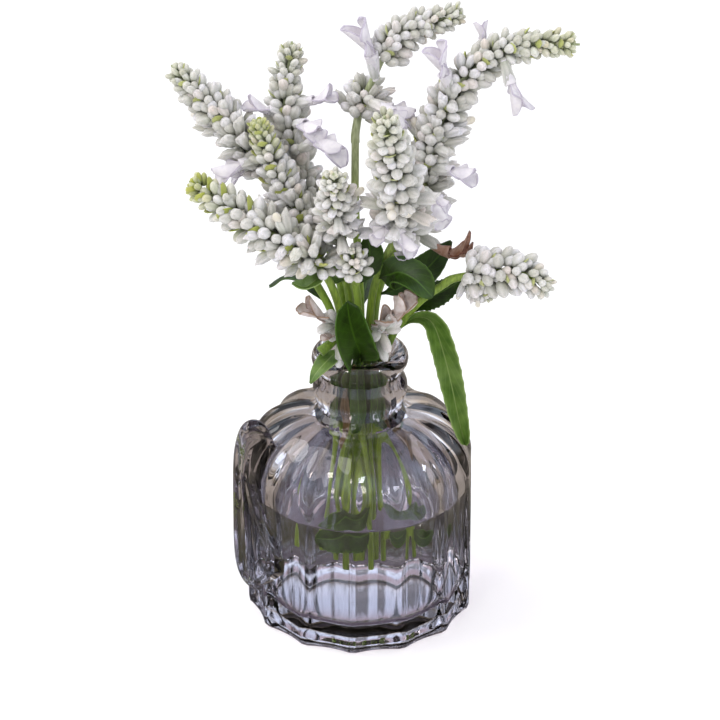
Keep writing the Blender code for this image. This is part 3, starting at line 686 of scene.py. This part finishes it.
def cavity_rows():
    rows = []
    for step in range(CAVITY_STEPS):
        turn = radians(CAVITY_SWEEP - CAVITY_SWEEP * step / (CAVITY_STEPS - 1))
        radius = MOUTH_RADIUS + (CAVITY_RADIUS - MOUTH_RADIUS) * cos(turn)
        rows.append((radius, SHOULDER_HEIGHT - ROOF_DROP + CAVITY_RISE * sin(turn)))
    return rows


def press_flutes(vase, rows):
    """Slides each column to its place across a flute and presses the hollow in, as the mould does."""
    per_flute = len(FLUTE_COLUMNS)
    depth_at = {}
    for radius, height, depth in rows:
        depth_at.setdefault(round(height, 3), []).append((radius, depth))
    for vertex in vase.data.vertices:
        radius, height = vertex.co.xy.length / MM, vertex.co.z / MM
        if radius < 1:
            continue
        options = depth_at[min(depth_at, key=lambda h: abs(h - height))]
        depth = min(options, key=lambda option: abs(option[0] - radius))[1]
        turn = atan2(vertex.co.y, vertex.co.x) % (2 * pi)
        column = round(turn / (2 * pi) * FLUTES * per_flute) % (FLUTES * per_flute)
        across = FLUTE_COLUMNS[column % per_flute]
        angle = pi + 2 * pi * (column // per_flute + across / 2) / FLUTES
        hollow = depth * max(0.0, 1 - (across / RIB_EDGE) ** 2)
        reach = (radius - hollow) * MM
        vertex.co.x, vertex.co.y = reach * cos(angle), reach * sin(angle)


def at_height(table, height):
    """The values of a table's rows at a height, straight between one row and the next."""
    height = min(max(height, table[0][0]), table[-1][0])
    k = next(k for k in range(len(table) - 1) if height <= table[k + 1][0])
    share = (height - table[k][0]) / (table[k + 1][0] - table[k][0])
    return [low + (high - low) * share for low, high in zip(table[k][1:], table[k + 1][1:])]


def ear_slice(root, rim):
    """A slice through the handle as a closed ring: out along one side to the rim and back along the other."""
    ridge, thick, foot, scoop = at_height(EAR_SHAPE, (root.y + rim.y) / 2)
    span = rim.x - root.x
    band = rim.x - min(EAR_BAND_WIDTH, EAR_BAND_MOST * span)
    on_wall = sqrt((root.x + min(EAR_FOOT_HEIGHT, EAR_FOOT_MOST * span)) ** 2 - foot**2)
    ridge = min(ridge, band - EAR_BAND_MOST * (band - on_wall))
    web = EAR_WEB + (1 - scoop) * (0.5 * (thick + EAR_BAND) - EAR_WEB)
    side = [(rim.x - 0.25 * (rim.x - band), EAR_BAND * EAR_EDGE), (band, EAR_BAND),
            (0.35 * ridge + 0.65 * band, web + 0.25), (0.7 * ridge + 0.3 * band, web + 0.25 * (thick - web)),
            (ridge, thick)]
    for share in EAR_FLANK:
        half = thick + share * (foot - thick)
        concave = ridge + (on_wall - ridge) * share**0.7
        pad = sqrt(EAR_PAD**2 - half**2) if foot > EAR_PAD_FROM else 0
        side.append((min(ridge, max(concave, pad)), half))
    side.append((on_wall, foot))
    turn = asin((foot + 0.5) / root.x)
    arc = []
    for step in range(EAR_ARC_STEPS + 1):
        angle = turn * (1 - 2 * step / EAR_ARC_STEPS)
        arc.append((root.x * cos(angle), root.x * sin(angle)))
    ring = [(rim.x, 0.0)] + side + arc + [(reach, -half) for reach, half in reversed(side)]
    slope = (rim.y - root.y) / span
    corners = [(-reach, -half, root.y + slope * (max(reach, root.x) - root.x)) for reach, half in ring]
    return smooth_path(corners, EAR_SIDES, closed=True)


def ear():
    """The handle: a plain stack of rings, each then slid into its slice between the wall and the rim."""
    roots = smooth_path([(*point, 0) for point in EAR_ROOT], EAR_ROWS)
    rims = smooth_path([(*point, 0) for point in EAR_RIM], EAR_ROWS)
    slices = [ear_slice(root, rim) for root, rim in zip(roots, rims)]
    made = drawn("ear", [(MM, row * MM) for row in range(EAR_ROWS)], EAR_SIDES)
    for vertex in made.data.vertices:
        ring = slices[round(vertex.co.z / MM)]
        if vertex.co.xy.length < 0.5 * MM:
            vertex.co = sum(ring, Vector()) / EAR_SIDES * MM
        else:
            turn = atan2(vertex.co.y, vertex.co.x) / (2 * pi)
            vertex.co = ring[round(turn * EAR_SIDES) % EAR_SIDES] * MM
    outward_normals(made)
    return made


def make_vase(glass):
    rows = FOOT_ROWS + WALL_ROWS + dome_rows() + NECK_ROWS
    sides = FLUTES * len(FLUTE_COLUMNS)
    outside = [(radius * MM, height * MM) for radius, height, _ in rows]
    vase = drawn("vase_glass", outside, sides, end_closed=False)
    press_flutes(vase, rows)
    inner = [rows[-1][:2]] + MOUTH_ROWS + cavity_rows() + CAVITY_ROWS
    only(vase)
    bpy.ops.object.mode_set(mode="EDIT")
    choose(lambda place: place.z > (NECK_ROWS[-1][1] - 0.01) * MM)
    draw_on([(radius * MM, height * MM) for radius, height in inner])
    close_ring()
    bpy.ops.object.mode_set(mode="OBJECT")
    outward_normals(vase)
    handle = ear()
    cut = vase.modifiers.new("handle", "BOOLEAN")
    cut.operation = "UNION"
    cut.solver = "EXACT"
    cut.object = handle
    apply_modifiers(vase)
    bpy.data.objects.remove(handle)
    dress(vase, glass, 40)
    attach(vase, "root")
    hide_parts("vase")


def make_water(finish):
    """The water meets the glass without a film of air, and creeps a little up the wall."""
    wet_rows = [(radius + INTO_GLASS, height - INTO_GLASS) for radius, height in reversed(CAVITY_ROWS[2:8])]
    floor_height = CAVITY_ROWS[-1][1] - INTO_GLASS
    rows = [(0.4, floor_height), (29.0, floor_height)] + wet_rows
    rows += [(CAVITY_RADIUS + INTO_GLASS, WATER_LEVEL + WATER_CREEP)]
    rows += [(radius, WATER_LEVEL + rise) for radius, rise in WATER_SURFACE]
    water = drawn("still_water", [(radius * MM, height * MM) for radius, height in rows], WATER_SIDES)
    dress(water, finish, 50)
    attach(water, "root")
    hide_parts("water")


# --- Greenery ---------------------------------------------------------------
def square_section():
    """A unit square with rounded corners, for the stems."""
    curve = bpy.data.curves.new("square_section", "CURVE")
    curve.dimensions = "2D"
    spline = curve.splines.new("POLY")
    spline.points.add(STEM_SIDES - 1)
    for i, point in enumerate(spline.points):
        turn = 2 * pi * (i + 0.5) / STEM_SIDES
        reach = 1.04 - 0.12 * sin(2 * turn) ** 2
        point.co = (reach * cos(turn) * MM, reach * sin(turn) * MM, 0, 1)
    spline.use_cyclic_u = True
    item = bpy.data.objects.new("square_section", curve)
    bpy.context.scene.collection.objects.link(item)
    return item


def stem_point(name, height):
    """The middle of a stem at a height."""
    path = smooth_path(STEMS[name], 200)
    return min(path[1:-1], key=lambda place: abs(place.z - height))


def inside_radius(height):
    """Radius of the vase's inner wall at a height, and no limit above the lip."""
    rows = sorted((row[1], row[0]) for row in MOUTH_ROWS + cavity_rows() + CAVITY_ROWS)
    for (low, near), (high, far) in zip(rows, rows[1:]):
        if low <= height < high:
            return near + (far - near) * (height - low) / (high - low)
    return inf


def press_inside(scrap):
    """A scrap that is wider than the neck lies flat against the glass."""
    for vertex in scrap.data.vertices:
        reach = vertex.co.xy.length
        height = vertex.co.z / MM
        room = (min(inside_radius(height), inside_radius(height + SCRAP_STEP)) - SCRAP_CLEARANCE) * MM
        if reach > room:
            vertex.co.xy *= room / reach


def leaf_blade(name, points, shape, finish, seed):
    """A blade laid along its midrib, folded, waved and toothed, with its own thickness."""
    width, faces, fold, teeth, pointed = shape
    wave_phase = random.Random(seed).uniform(0, 6)
    path = smooth_path(points, LEAF_ALONG + 1)
    up = Vector(faces).normalized()
    leaf = flat_grid(name, LEAF_ACROSS, LEAF_ALONG)
    for vertex in leaf.data.vertices:
        across, share = vertex.co.x * 2, vertex.co.y + 0.5
        edge = abs(across)
        k = min(LEAF_ALONG, max(0, round(share * LEAF_ALONG)))
        ahead = path[min(k + 1, LEAF_ALONG)] - path[max(k - 1, 0)]
        side = ahead.cross(up).normalized()
        face = side.cross(ahead).normalized()
        body = sin(pi * min(1, 0.03 + 0.97 * share)) ** pointed
        neck = min(1, max(0.0, share - 0.08) / (0.05 + 0.3 * pointed))
        half = max(LEAF_STALK, 0.5 * width * body * (0.25 + 0.75 * neck))
        tooth = teeth * 0.35 * abs(sin(share * LEAF_TEETH * pi)) * max(0, edge - 0.7) / 0.3
        notch = 0.06 * teeth * sin(share * 2 * LEAF_TEETH * pi) * (edge > 0.95)
        half *= 1 - 0.12 * tooth - notch
        wave = sin(share * 9 + wave_phase + (1.5 if across > 0 else 0))
        lift = fold * half * edge**1.3 * 0.8 + LEAF_WAVE * width * wave * edge**2 * neck
        vertex.co = (path[k] + side * half * across * (1 - 0.3 * fold) + face * lift) * MM
    thicken(leaf, LEAF_THICKNESS * MM)
    outward_normals(leaf)
    return dress(leaf, finish, 60)


def make_leaf(name, spec, finishes, seed):
    stem, height, points, *shape, green = spec
    centre = stem_point(stem, height)
    toward = (Vector(points[0]) - centre).normalized()
    inside_stem = centre + toward * STEM_RADIUS * 0.6
    leaf = leaf_blade(name + "_blade", [inside_stem, *points], shape, finishes[green], seed)
    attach(leaf, "root")
    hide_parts(name)


def make_stem(name, finish, section, leaves):
    path = smooth_path(STEMS[name], STEM_STEPS)
    radii = [STEM_RADIUS * (1.08 - 0.2 * i / (STEM_STEPS - 1)) for i in range(STEM_STEPS)]
    parts = [dress(tube(name + "_stalk", path, radii, section), finish, 60)]
    for number, (owner, height, points, width, green) in enumerate(SCRAPS):
        if owner == name:
            top = stem_point(name, height)
            outward = (points[0][0], points[0][1], 0)
            scrap = leaf_blade("scrap", [top, *points], (width, outward, *SCRAP_SHAPE), leaves[green], number)
            press_inside(scrap)
            parts.append(scrap)
    stem = joined(name + "_stalk", parts)
    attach(stem, "root")
    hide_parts(name)


def make_cut_shoot(finish):
    radii = [1.5 + 0.7 * i / (SHOOT_STEPS - 1) for i in range(SHOOT_STEPS)]
    shoot = dress(tube("cut_shoot_stub", smooth_path(CUT_SHOOT, SHOOT_STEPS), radii), finish, 60)
    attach(shoot, "root")
    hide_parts("cut_shoot")


# --- Flowers: templates one unit long, pointing along +Z --------------------
def turn_of(vertex):
    return atan2(vertex.co.y, vertex.co.x)


def shut_calyx(felt):
    """Plump egg-shaped bud whose end is pressed into two lips."""
    made = drawn("shut_calyx", SHUT_CALYX_ROWS, 8)
    for vertex in made.data.vertices:
        vertex.co.xy *= 1 + 0.2 * max(0.0, vertex.co.z - 0.5) * cos(2 * turn_of(vertex))
    spread(made, "growth", lambda vertex: vertex.co.z)
    spread(made, "rib", lambda vertex: cos(4 * turn_of(vertex)))
    return dress(made, felt, 80)


def open_calyx(felt):
    """Ripe calyx: a ribbed bell whose mouth closes to a toothed slit."""
    made = drawn("open_calyx", OPEN_CALYX_ROWS, 12)
    spread(made, "growth", lambda vertex: 0.2 + 0.8 * vertex.co.z)
    spread(made, "rib", lambda vertex: cos(6 * turn_of(vertex)))
    for vertex in made.data.vertices:
        turn = turn_of(vertex)
        vertex.co.xy *= 1 + 0.06 * cos(6 * turn)
        if vertex.co.z > 0.5:  # the mouth is pressed into two lips
            vertex.co.y *= 1 - 0.6 * ((vertex.co.z - 0.5) / 0.5) ** 1.5
        if vertex.co.z > 0.97:
            vertex.co.z += 0.07 * cos(2 * turn)
    return dress(made, felt, 60)


def petal_bud(petal):
    """The folded corolla that swells out of a calyx before it opens."""
    made = drawn("petal_bud", PETAL_BUD_ROWS, 9)
    spread(made, "growth", lambda vertex: 0)
    return dress(made, petal, 80)


def petal_blade(name, widths, lean, cup, ruffle, curl):
    """A petal that rises from the mouth of the tube, with its half widths along it."""
    made = flat_grid(name, 10, 14)
    for vertex in made.data.vertices:
        across, share = vertex.co.x * 2, vertex.co.y + 0.5
        place = share * (len(widths) - 1)
        k = min(int(place), len(widths) - 2)
        half = widths[k] + (widths[k + 1] - widths[k]) * (place - k)
        wave = ruffle * sin(5.5 * across + 9 * share) * share * abs(across)
        depth = sin(lean) * share + curl * share**2
        rise = 0.47 + 0.53 * share * cos(lean)
        vertex.co = (half * across, depth * 0.55 - cup * half * across**2 + wave, rise)
    mesh = bmesh.new()
    mesh.from_mesh(made.data)
    rim = {vertex.index for vertex in mesh.verts if vertex.is_boundary}
    mesh.free()
    spread(made, "growth", lambda vertex: 1.0 if vertex.index in rim else 0.0)
    return made


def corolla(petal, pollen):
    """Open corolla: a tube, an oval hood behind (+Y) and a lobed, ruffled lip in front."""
    throat = drawn("corolla", THROAT_ROWS, 12, start_closed=False, end_closed=False)
    spread(throat, "growth", lambda vertex: 0)
    hood = petal_blade("hood", HOOD_WIDTHS, 0.3, 1.0, 0.0, -0.03)
    lip = petal_blade("lip", LIP_WIDTHS, -0.32, -0.4, 0.03, -0.12)
    parts = [joined("corolla", [throat, hood, lip])]
    thicken(parts[0], PETAL_THICKNESS)
    dress(parts[0], petal, 80)
    for side in (-1, 1):
        anther = drawn("anther", ANTHER_ROWS, 6)
        anther.data.transform(Matrix.Translation((0.025 * side, 0.0, 0.5)))
        spread(anther, "growth", lambda vertex: 0)
        parts.append(dress(anther, pollen, 80))
    return joined("corolla", parts)


def bract_template(felt):
    """A small broad leaf that curls up and cups the buds above it."""
    made = flat_grid("bract", 4, 6)
    for vertex in made.data.vertices:
        across, share = vertex.co.x * 2, vertex.co.y + 0.5
        half = 0.46 * sin(pi * min(1, 0.1 + 0.87 * share)) ** 0.6
        vertex.co = (half * across, 0.4 * across**2 * half + 0.5 * share**2.5, share * (1 - 0.18 * share))
    thicken(made, BRACT_THICKNESS, -1.0)
    spread(made, "growth", lambda vertex: vertex.co.z)
    return dress(made, felt, 60)


def bloom(parts, templates, start, bend, end, rng):
    """An open flower: its calyx, and the corolla that comes out of it and bends on its way."""
    start, bend, end = Vector(start), Vector(bend), Vector(end)
    reach = end - start
    hood_side = UP if abs(reach.normalized().z) < 0.75 else Vector((-1, 0.3, 0))
    size = reach.length * MM
    flower = copy_of(templates["corolla"], aimed(start, reach, hood_side, size, size))
    sag = (bend - (start + end) / 2) * MM
    for vertex in flower.data.vertices:
        share = (vertex.co - start * MM).dot(reach * MM) / size**2
        vertex.co += sag * max(0.0, 4 * share * (1 - share))
    cup_length = 0.44 * size
    cup = copy_of(templates["open_calyx"], aimed(start, bend - start, UP, BLOOM_CALYX_WIDTH * MM, cup_length))
    for part in (flower, cup):
        set_growth(part, 0, rng.random())
        parts.append(part)


def spike_width(share):
    """How wide a spike is along its length: nearly even, then narrowing over its last part."""
    return min(1.0, 0.85 + 1.5 * share) * (1.0 - 0.52 * max(0.0, (share - 0.5) / 0.5) ** 1.5)


def ring_frame(path, k):
    """At a point of a path, the way ahead and two directions square to it."""
    ahead = (path[min(k + 1, len(path) - 1)] - path[max(k - 1, 0)]).normalized()
    side = ahead.cross(Vector((0.2, 1.0, 0.1))).normalized()
    return ahead, side, side.cross(ahead).normalized()


def around(side, back, turn):
    return side * cos(turn) + back * sin(turn)


def add_bud(parts, templates, rng, base, direction, ahead, scale, kind, young):
    length = BUD_LENGTH * scale * rng.uniform(0.75, 1.15)
    width = BUD_LENGTH * scale * rng.uniform(0.74, 0.95)
    if kind == "open_calyx":
        length *= 1.35
        width *= 1.3
    bud = copy_of(templates[kind], aimed(base, direction, ahead, width * MM, length * MM))
    set_growth(bud, young, rng.random())
    parts.append(bud)


def grow_spike(axis, largest, greenness, bare, templates, stalk, rng):
    """A spike as a list of parts: whorl after whorl of calyces on a thin axis, down to a tight tip."""
    path = smooth_path(axis, SPIKE_STEPS + 1)
    length = sum((b - a).length for a, b in zip(path, path[1:]))
    inner_path = path[::8]
    radii = [1.75 - 1.3 * i / (len(inner_path) - 1) for i in range(len(inner_path))]
    parts = [dress(tube("rachis", inner_path, radii), stalk, 60)]
    travelled = 1.0
    whorl = 0
    while travelled < length - 2.5:
        share = travelled / length
        scale = largest / USUAL_RADIUS * spike_width(share)
        travelled += WHORL_SPACING * scale * rng.uniform(0.85, 1.2)
        if any(low <= share <= high for low, high in bare):
            continue
        whorl += 1
        centre = path[round(share * SPIKE_STEPS)]
        ahead, side, back = ring_frame(path, round(share * SPIKE_STEPS))
        young = greenness * max(0.0, (share - 0.65) / 0.35) ** 1.5
        count = 9 if share < 0.5 else 8 if share < 0.8 else 6
        for lean, size, turned, onward in BUD_TIERS:
            for j in range(count):
                turn = 2 * pi * (j + whorl / 2 + turned + rng.uniform(-0.2, 0.2)) / count
                radial = around(side, back, turn)
                tilt = radians(lean - LEAN_LOSS * share) + rng.uniform(-0.25, 0.25)
                direction = radial * sin(tilt) + ahead * cos(tilt)
                base = centre + (ahead * (onward + rng.uniform(-0.9, 0.9)) + radial * BUD_REACH) * scale
                ripe = share < RIPE_UNTIL and greenness > 0.15 and rng.random() < RIPE_CHANCE
                kind = "open_calyx" if ripe else "shut_calyx"
                greener = 0.15 * greenness if rng.random() < GREENER_CHANCE else 0
                add_bud(parts, templates, rng, base, direction, ahead, scale * size, kind, young + greener)
                if ripe and rng.random() < PETAL_CHANCE:
                    parts.append(copy_of(templates["petal_bud"], aimed(
                        base + direction * 4 * scale, direction, ahead, 6.5 * scale * MM, 8.0 * scale * MM)))
        bracts = 4 if share > 0.72 and greenness > 0.5 else 2
        for i in range(bracts):
            radial = around(side, back, whorl * 1.6 + 2 * pi * i / bracts)
            base = centre + (radial * 2.0 + ahead * 1.6) * scale
            width = (4.2 + 2.6 * greenness) * scale * MM
            long = (6.2 + 2.4 * greenness) * scale * MM
            bract = copy_of(templates["bract"], aimed(base, radial + ahead * 0.25, ahead, width, long))
            set_growth(bract, 0.8 + 0.2 * greenness, rng.random())
            parts.append(bract)
    ahead, side, back = ring_frame(path, SPIKE_STEPS)
    for j in range(TIP_BUDS):
        radial = around(side, back, 2 * pi * j / TIP_BUDS)
        add_bud(parts, templates, rng, path[TIP_START], ahead + radial * 0.5, side,
                largest / USUAL_RADIUS * 0.45, "shut_calyx", greenness)
    return parts


def make_head(name, templates, dead_templates, stalk):
    stem, points, largest, greenness, bare = HEADS[name]
    rng = random.Random(name)
    axis = list(points)
    if stem:
        before, end = smooth_path(STEMS[stem], 15)[-2:]
        onward = (end - before).normalized()
        axis = [end - onward * 0.5, end + onward * 3, *points]
    parts = grow_spike(axis, largest, greenness, bare, templates, stalk, rng)
    if name in SIDE_SPIKES:
        axis, largest, greenness = SIDE_SPIKES[name]
        parts += grow_spike(axis, largest, greenness, (), templates, stalk, rng)
    for blooms, looks in ((BLOOMS, templates), (WITHERED_BLOOMS, dead_templates)):
        for start, bend, end in blooms.get(name, ()):
            bloom(parts, looks, start, bend, end, rng)
    head = joined(name + "_spike", parts)
    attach(head, "root")
    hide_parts(name)


def make_faded(name, templates):
    rng = random.Random(name)
    parts = []
    for start, bend, end in FADED_BLOOMS[name]:
        bloom(parts, templates, start, bend, end, rng)
    for base, tip in FADED_BUDS[name]:
        reach = Vector(tip) - Vector(base)
        long = (reach.length + 1.5) * MM
        bud = copy_of(templates["shut_calyx"], aimed(base, reach, UP, FADED_BUD_WIDTH * MM, long))
        set_growth(bud, 0, rng.random())
        parts.append(bud)
    head = joined(name + "_cluster", parts)
    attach(head, "root")
    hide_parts(name)


# --- Camera, floor and light ------------------------------------------------
def aim_at_vase(item, place):
    item.rotation_euler = (LIGHT_AIM - Vector(place)).to_track_quat("-Z", "Y").to_euler()


def make_camera():
    back = Vector((sin(AZIMUTH) * cos(ELEVATION), -cos(AZIMUTH) * cos(ELEVATION),
                   sin(ELEVATION)))
    bpy.ops.object.camera_add(location=AIM + back * DISTANCE)
    camera = bpy.context.object
    camera.rotation_euler = (-back).to_track_quat("-Z", "Y").to_euler()
    camera.data.sensor_width = SENSOR_WIDTH
    camera.data.lens = LENS
    bpy.context.scene.camera = camera


def area_light(name, place, size, power, colour):
    bpy.ops.object.light_add(type="AREA", location=place)
    lamp = bpy.context.object
    lamp.name = name
    aim_at_vase(lamp, place)
    lamp.data.shape = "RECTANGLE"
    lamp.data.size, lamp.data.size_y = size
    lamp.data.energy = power
    lamp.data.color = linear(colour)[:3]


def dark_card(name, place, size):
    """A black card beside the glass: only reflections and refractions see it."""
    bpy.ops.mesh.primitive_plane_add(size=1, location=place)
    card = bpy.context.object
    card.name = name
    card.scale = (*size, 1)
    aim_at_vase(card, place)
    finish, node = new_material("black_card")[:2]
    matt = node("BsdfDiffuse", {"Color": "#1c1a1e"})
    node("OutputMaterial", {"Surface": matt})
    card.data.materials.append(finish)
    card.visible_camera = False
    card.visible_diffuse = False
    card.visible_shadow = False


def through_glass(node):
    """1 for rays that glass has bent or mirrored, 0 for the others."""
    path = node("LightPath").outputs
    return node("Math", {0: path["Is Glossy Ray"], 1: path["Is Transmission Ray"]}, operation="MAXIMUM")


def make_floor():
    """White to the eye. The glass bends and mirrors a taupe table, darkened under and round the foot of the
    vase with painted shadow.
    """
    bpy.ops.mesh.primitive_plane_add(size=30, location=(0, 0, -FLOOR_GAP))
    floor = bpy.context.object
    floor.name = "floor"
    finish, node, coords = new_material("matt_white_table")
    away = node("VectorMath", {0: coords["Object"]}, operation="LENGTH").outputs["Value"]
    # Out to 0.115 m from the centre of the foot the table is darkened with painted shadow of the vase and
    # plant.
    table = node("ValToRGB", {"Fac": away}, stops=[
        (0.0, "#7d7886"), (0.045, "#6c6872"), (0.06, "#3a3a2c"), (0.09, "#423f33"), (0.115, "#8a8379"),
        (0.25, "#9a9288"), (0.8, "#a39b92")])
    body = node("Mix", {0: through_glass(node), 6: "#f8f8f8", 7: table}, **MIX).outputs[2]
    matt = node("BsdfDiffuse", {"Color": body})
    node("OutputMaterial", {"Surface": matt})
    floor.data.materials.append(finish)


def make_room():
    """Even white light; in the glass, a bright room over the table, streaked with dark uprights."""
    world = bpy.data.worlds.new("studio")
    bpy.context.scene.world = world
    world.use_nodes = True
    world.node_tree.nodes.clear()
    node = partial(add_node, world.node_tree)
    toward = node("TexCoord").outputs["Generated"]
    height = node("SeparateXYZ", {"Vector": toward}).outputs[2]
    room = node("ValToRGB", {"Fac": height}, stops=[
        (0.0, "#978e80"), (0.15, "#aea598"), (0.32, "#e6f1ff"), (0.6, "#d6e4fc"), (0.8, "#b3a5ae"),
        (1.0, "#9a8d94")])
    upright = node("Mapping", {"Vector": toward, "Scale": (1.6, 1.6, 0.5)})
    streaks = node("TexNoise", {"Vector": upright, "Scale": 1.6, "Detail": 1.0})
    shade = node("ValToRGB", {"Fac": streaks}, stops=[(0.42, "#746a60"), (0.56, "#ffffff")])
    room = node("Mix", {0: 0.8, 6: room, 7: shade}, **MULTIPLY).outputs[2]
    bent = through_glass(node)
    seen = node("Mix", {0: bent, 6: "#f6f7fb", 7: room}, **MIX).outputs[2]
    strength = node("MapRange", {"Value": bent, "To Min": 0.92, "To Max": 1.9})
    glow = node("Background", {"Color": seen, "Strength": strength})
    node("OutputWorld", {"Surface": glow})


def make_studio():
    make_floor()
    make_room()
    bpy.ops.object.light_add(type="SUN", location=SUN_PLACE)
    sun = bpy.context.object
    aim_at_vase(sun, SUN_PLACE)
    sun.data.energy = 1.3
    sun.data.angle = radians(40)
    area_light("key", (-0.75, -0.55, 0.95), (0.25, 0.25), 3.0, "#fff6ec")
    area_light("window", (0.5, -0.9, 0.8), (0.12, 0.25), 2.0, "#eef4ff")
    dark_card("dark_card_left", (-0.5, 0.3, 0.1), (0.12, 0.5))
    dark_card("dark_card_right", (0.5, 0.1, 0.1), (0.25, 0.5))
    bpy.context.scene.view_settings.view_transform = "Standard"


def main():
    glass = clear_material("pressed_soda_glass", "#f8f4f8", 1.5, "#a2979c", 16.0)
    water = clear_material("water", "#fbfdfc", 1.333, "#dfe8e6", 6.0)
    felt = calyx_material()
    petal = petal_material("lilac_petal", "#ebe7ee", "#fbf8fa", "#cfc8d6")
    bud_petal = petal_material("cream_petal_bud", "#efe9d8", "#f4f0ea", "#efe6bd")
    faded = petal_material("withered_petal", "#cfbdb6", "#ece3e1", "#a38874")
    dead = petal_material("dead_petal", "#a9755a", "#d0ab98", "#7a4a34")
    pollen = petal_material("pollen", "#e08a12", "#e9a63a", "#c06a10")
    stalk = stem_material()
    leaves = {"dark": leaf_material("salvia_leaf", "#1d3203", "#304f09", "#466a18"),
              "fresh": leaf_material("young_salvia_leaf", "#45661e", "#688836", "#8ea660"),
              "dry": leaf_material("withered_leaf", "#3d2f14", "#6e5a34", "#7d6a46")}
    templates = {"shut_calyx": shut_calyx(felt), "open_calyx": open_calyx(felt),
                 "petal_bud": petal_bud(bud_petal), "corolla": corolla(petal, pollen),
                 "bract": bract_template(felt)}
    faded_templates = {**templates, "corolla": corolla(faded, pollen)}
    dead_templates = {**templates, "corolla": corolla(dead, pollen)}
    make_vase(glass)
    make_water(water)
    section = square_section()
    for name in STEMS:
        make_stem(name, stalk, section, leaves)
    for seed, (name, spec) in enumerate(LEAVES.items()):
        make_leaf(name, spec, leaves, seed)
    for name in HEADS:
        make_head(name, templates, dead_templates, stalk)
    for name in FADED_BLOOMS:
        make_faded(name, faded_templates)
    make_cut_shoot(stalk)
    for item in [section, faded_templates["corolla"], dead_templates["corolla"], *templates.values()]:
        bpy.data.objects.remove(item)
    make_camera()
    make_studio()


main()
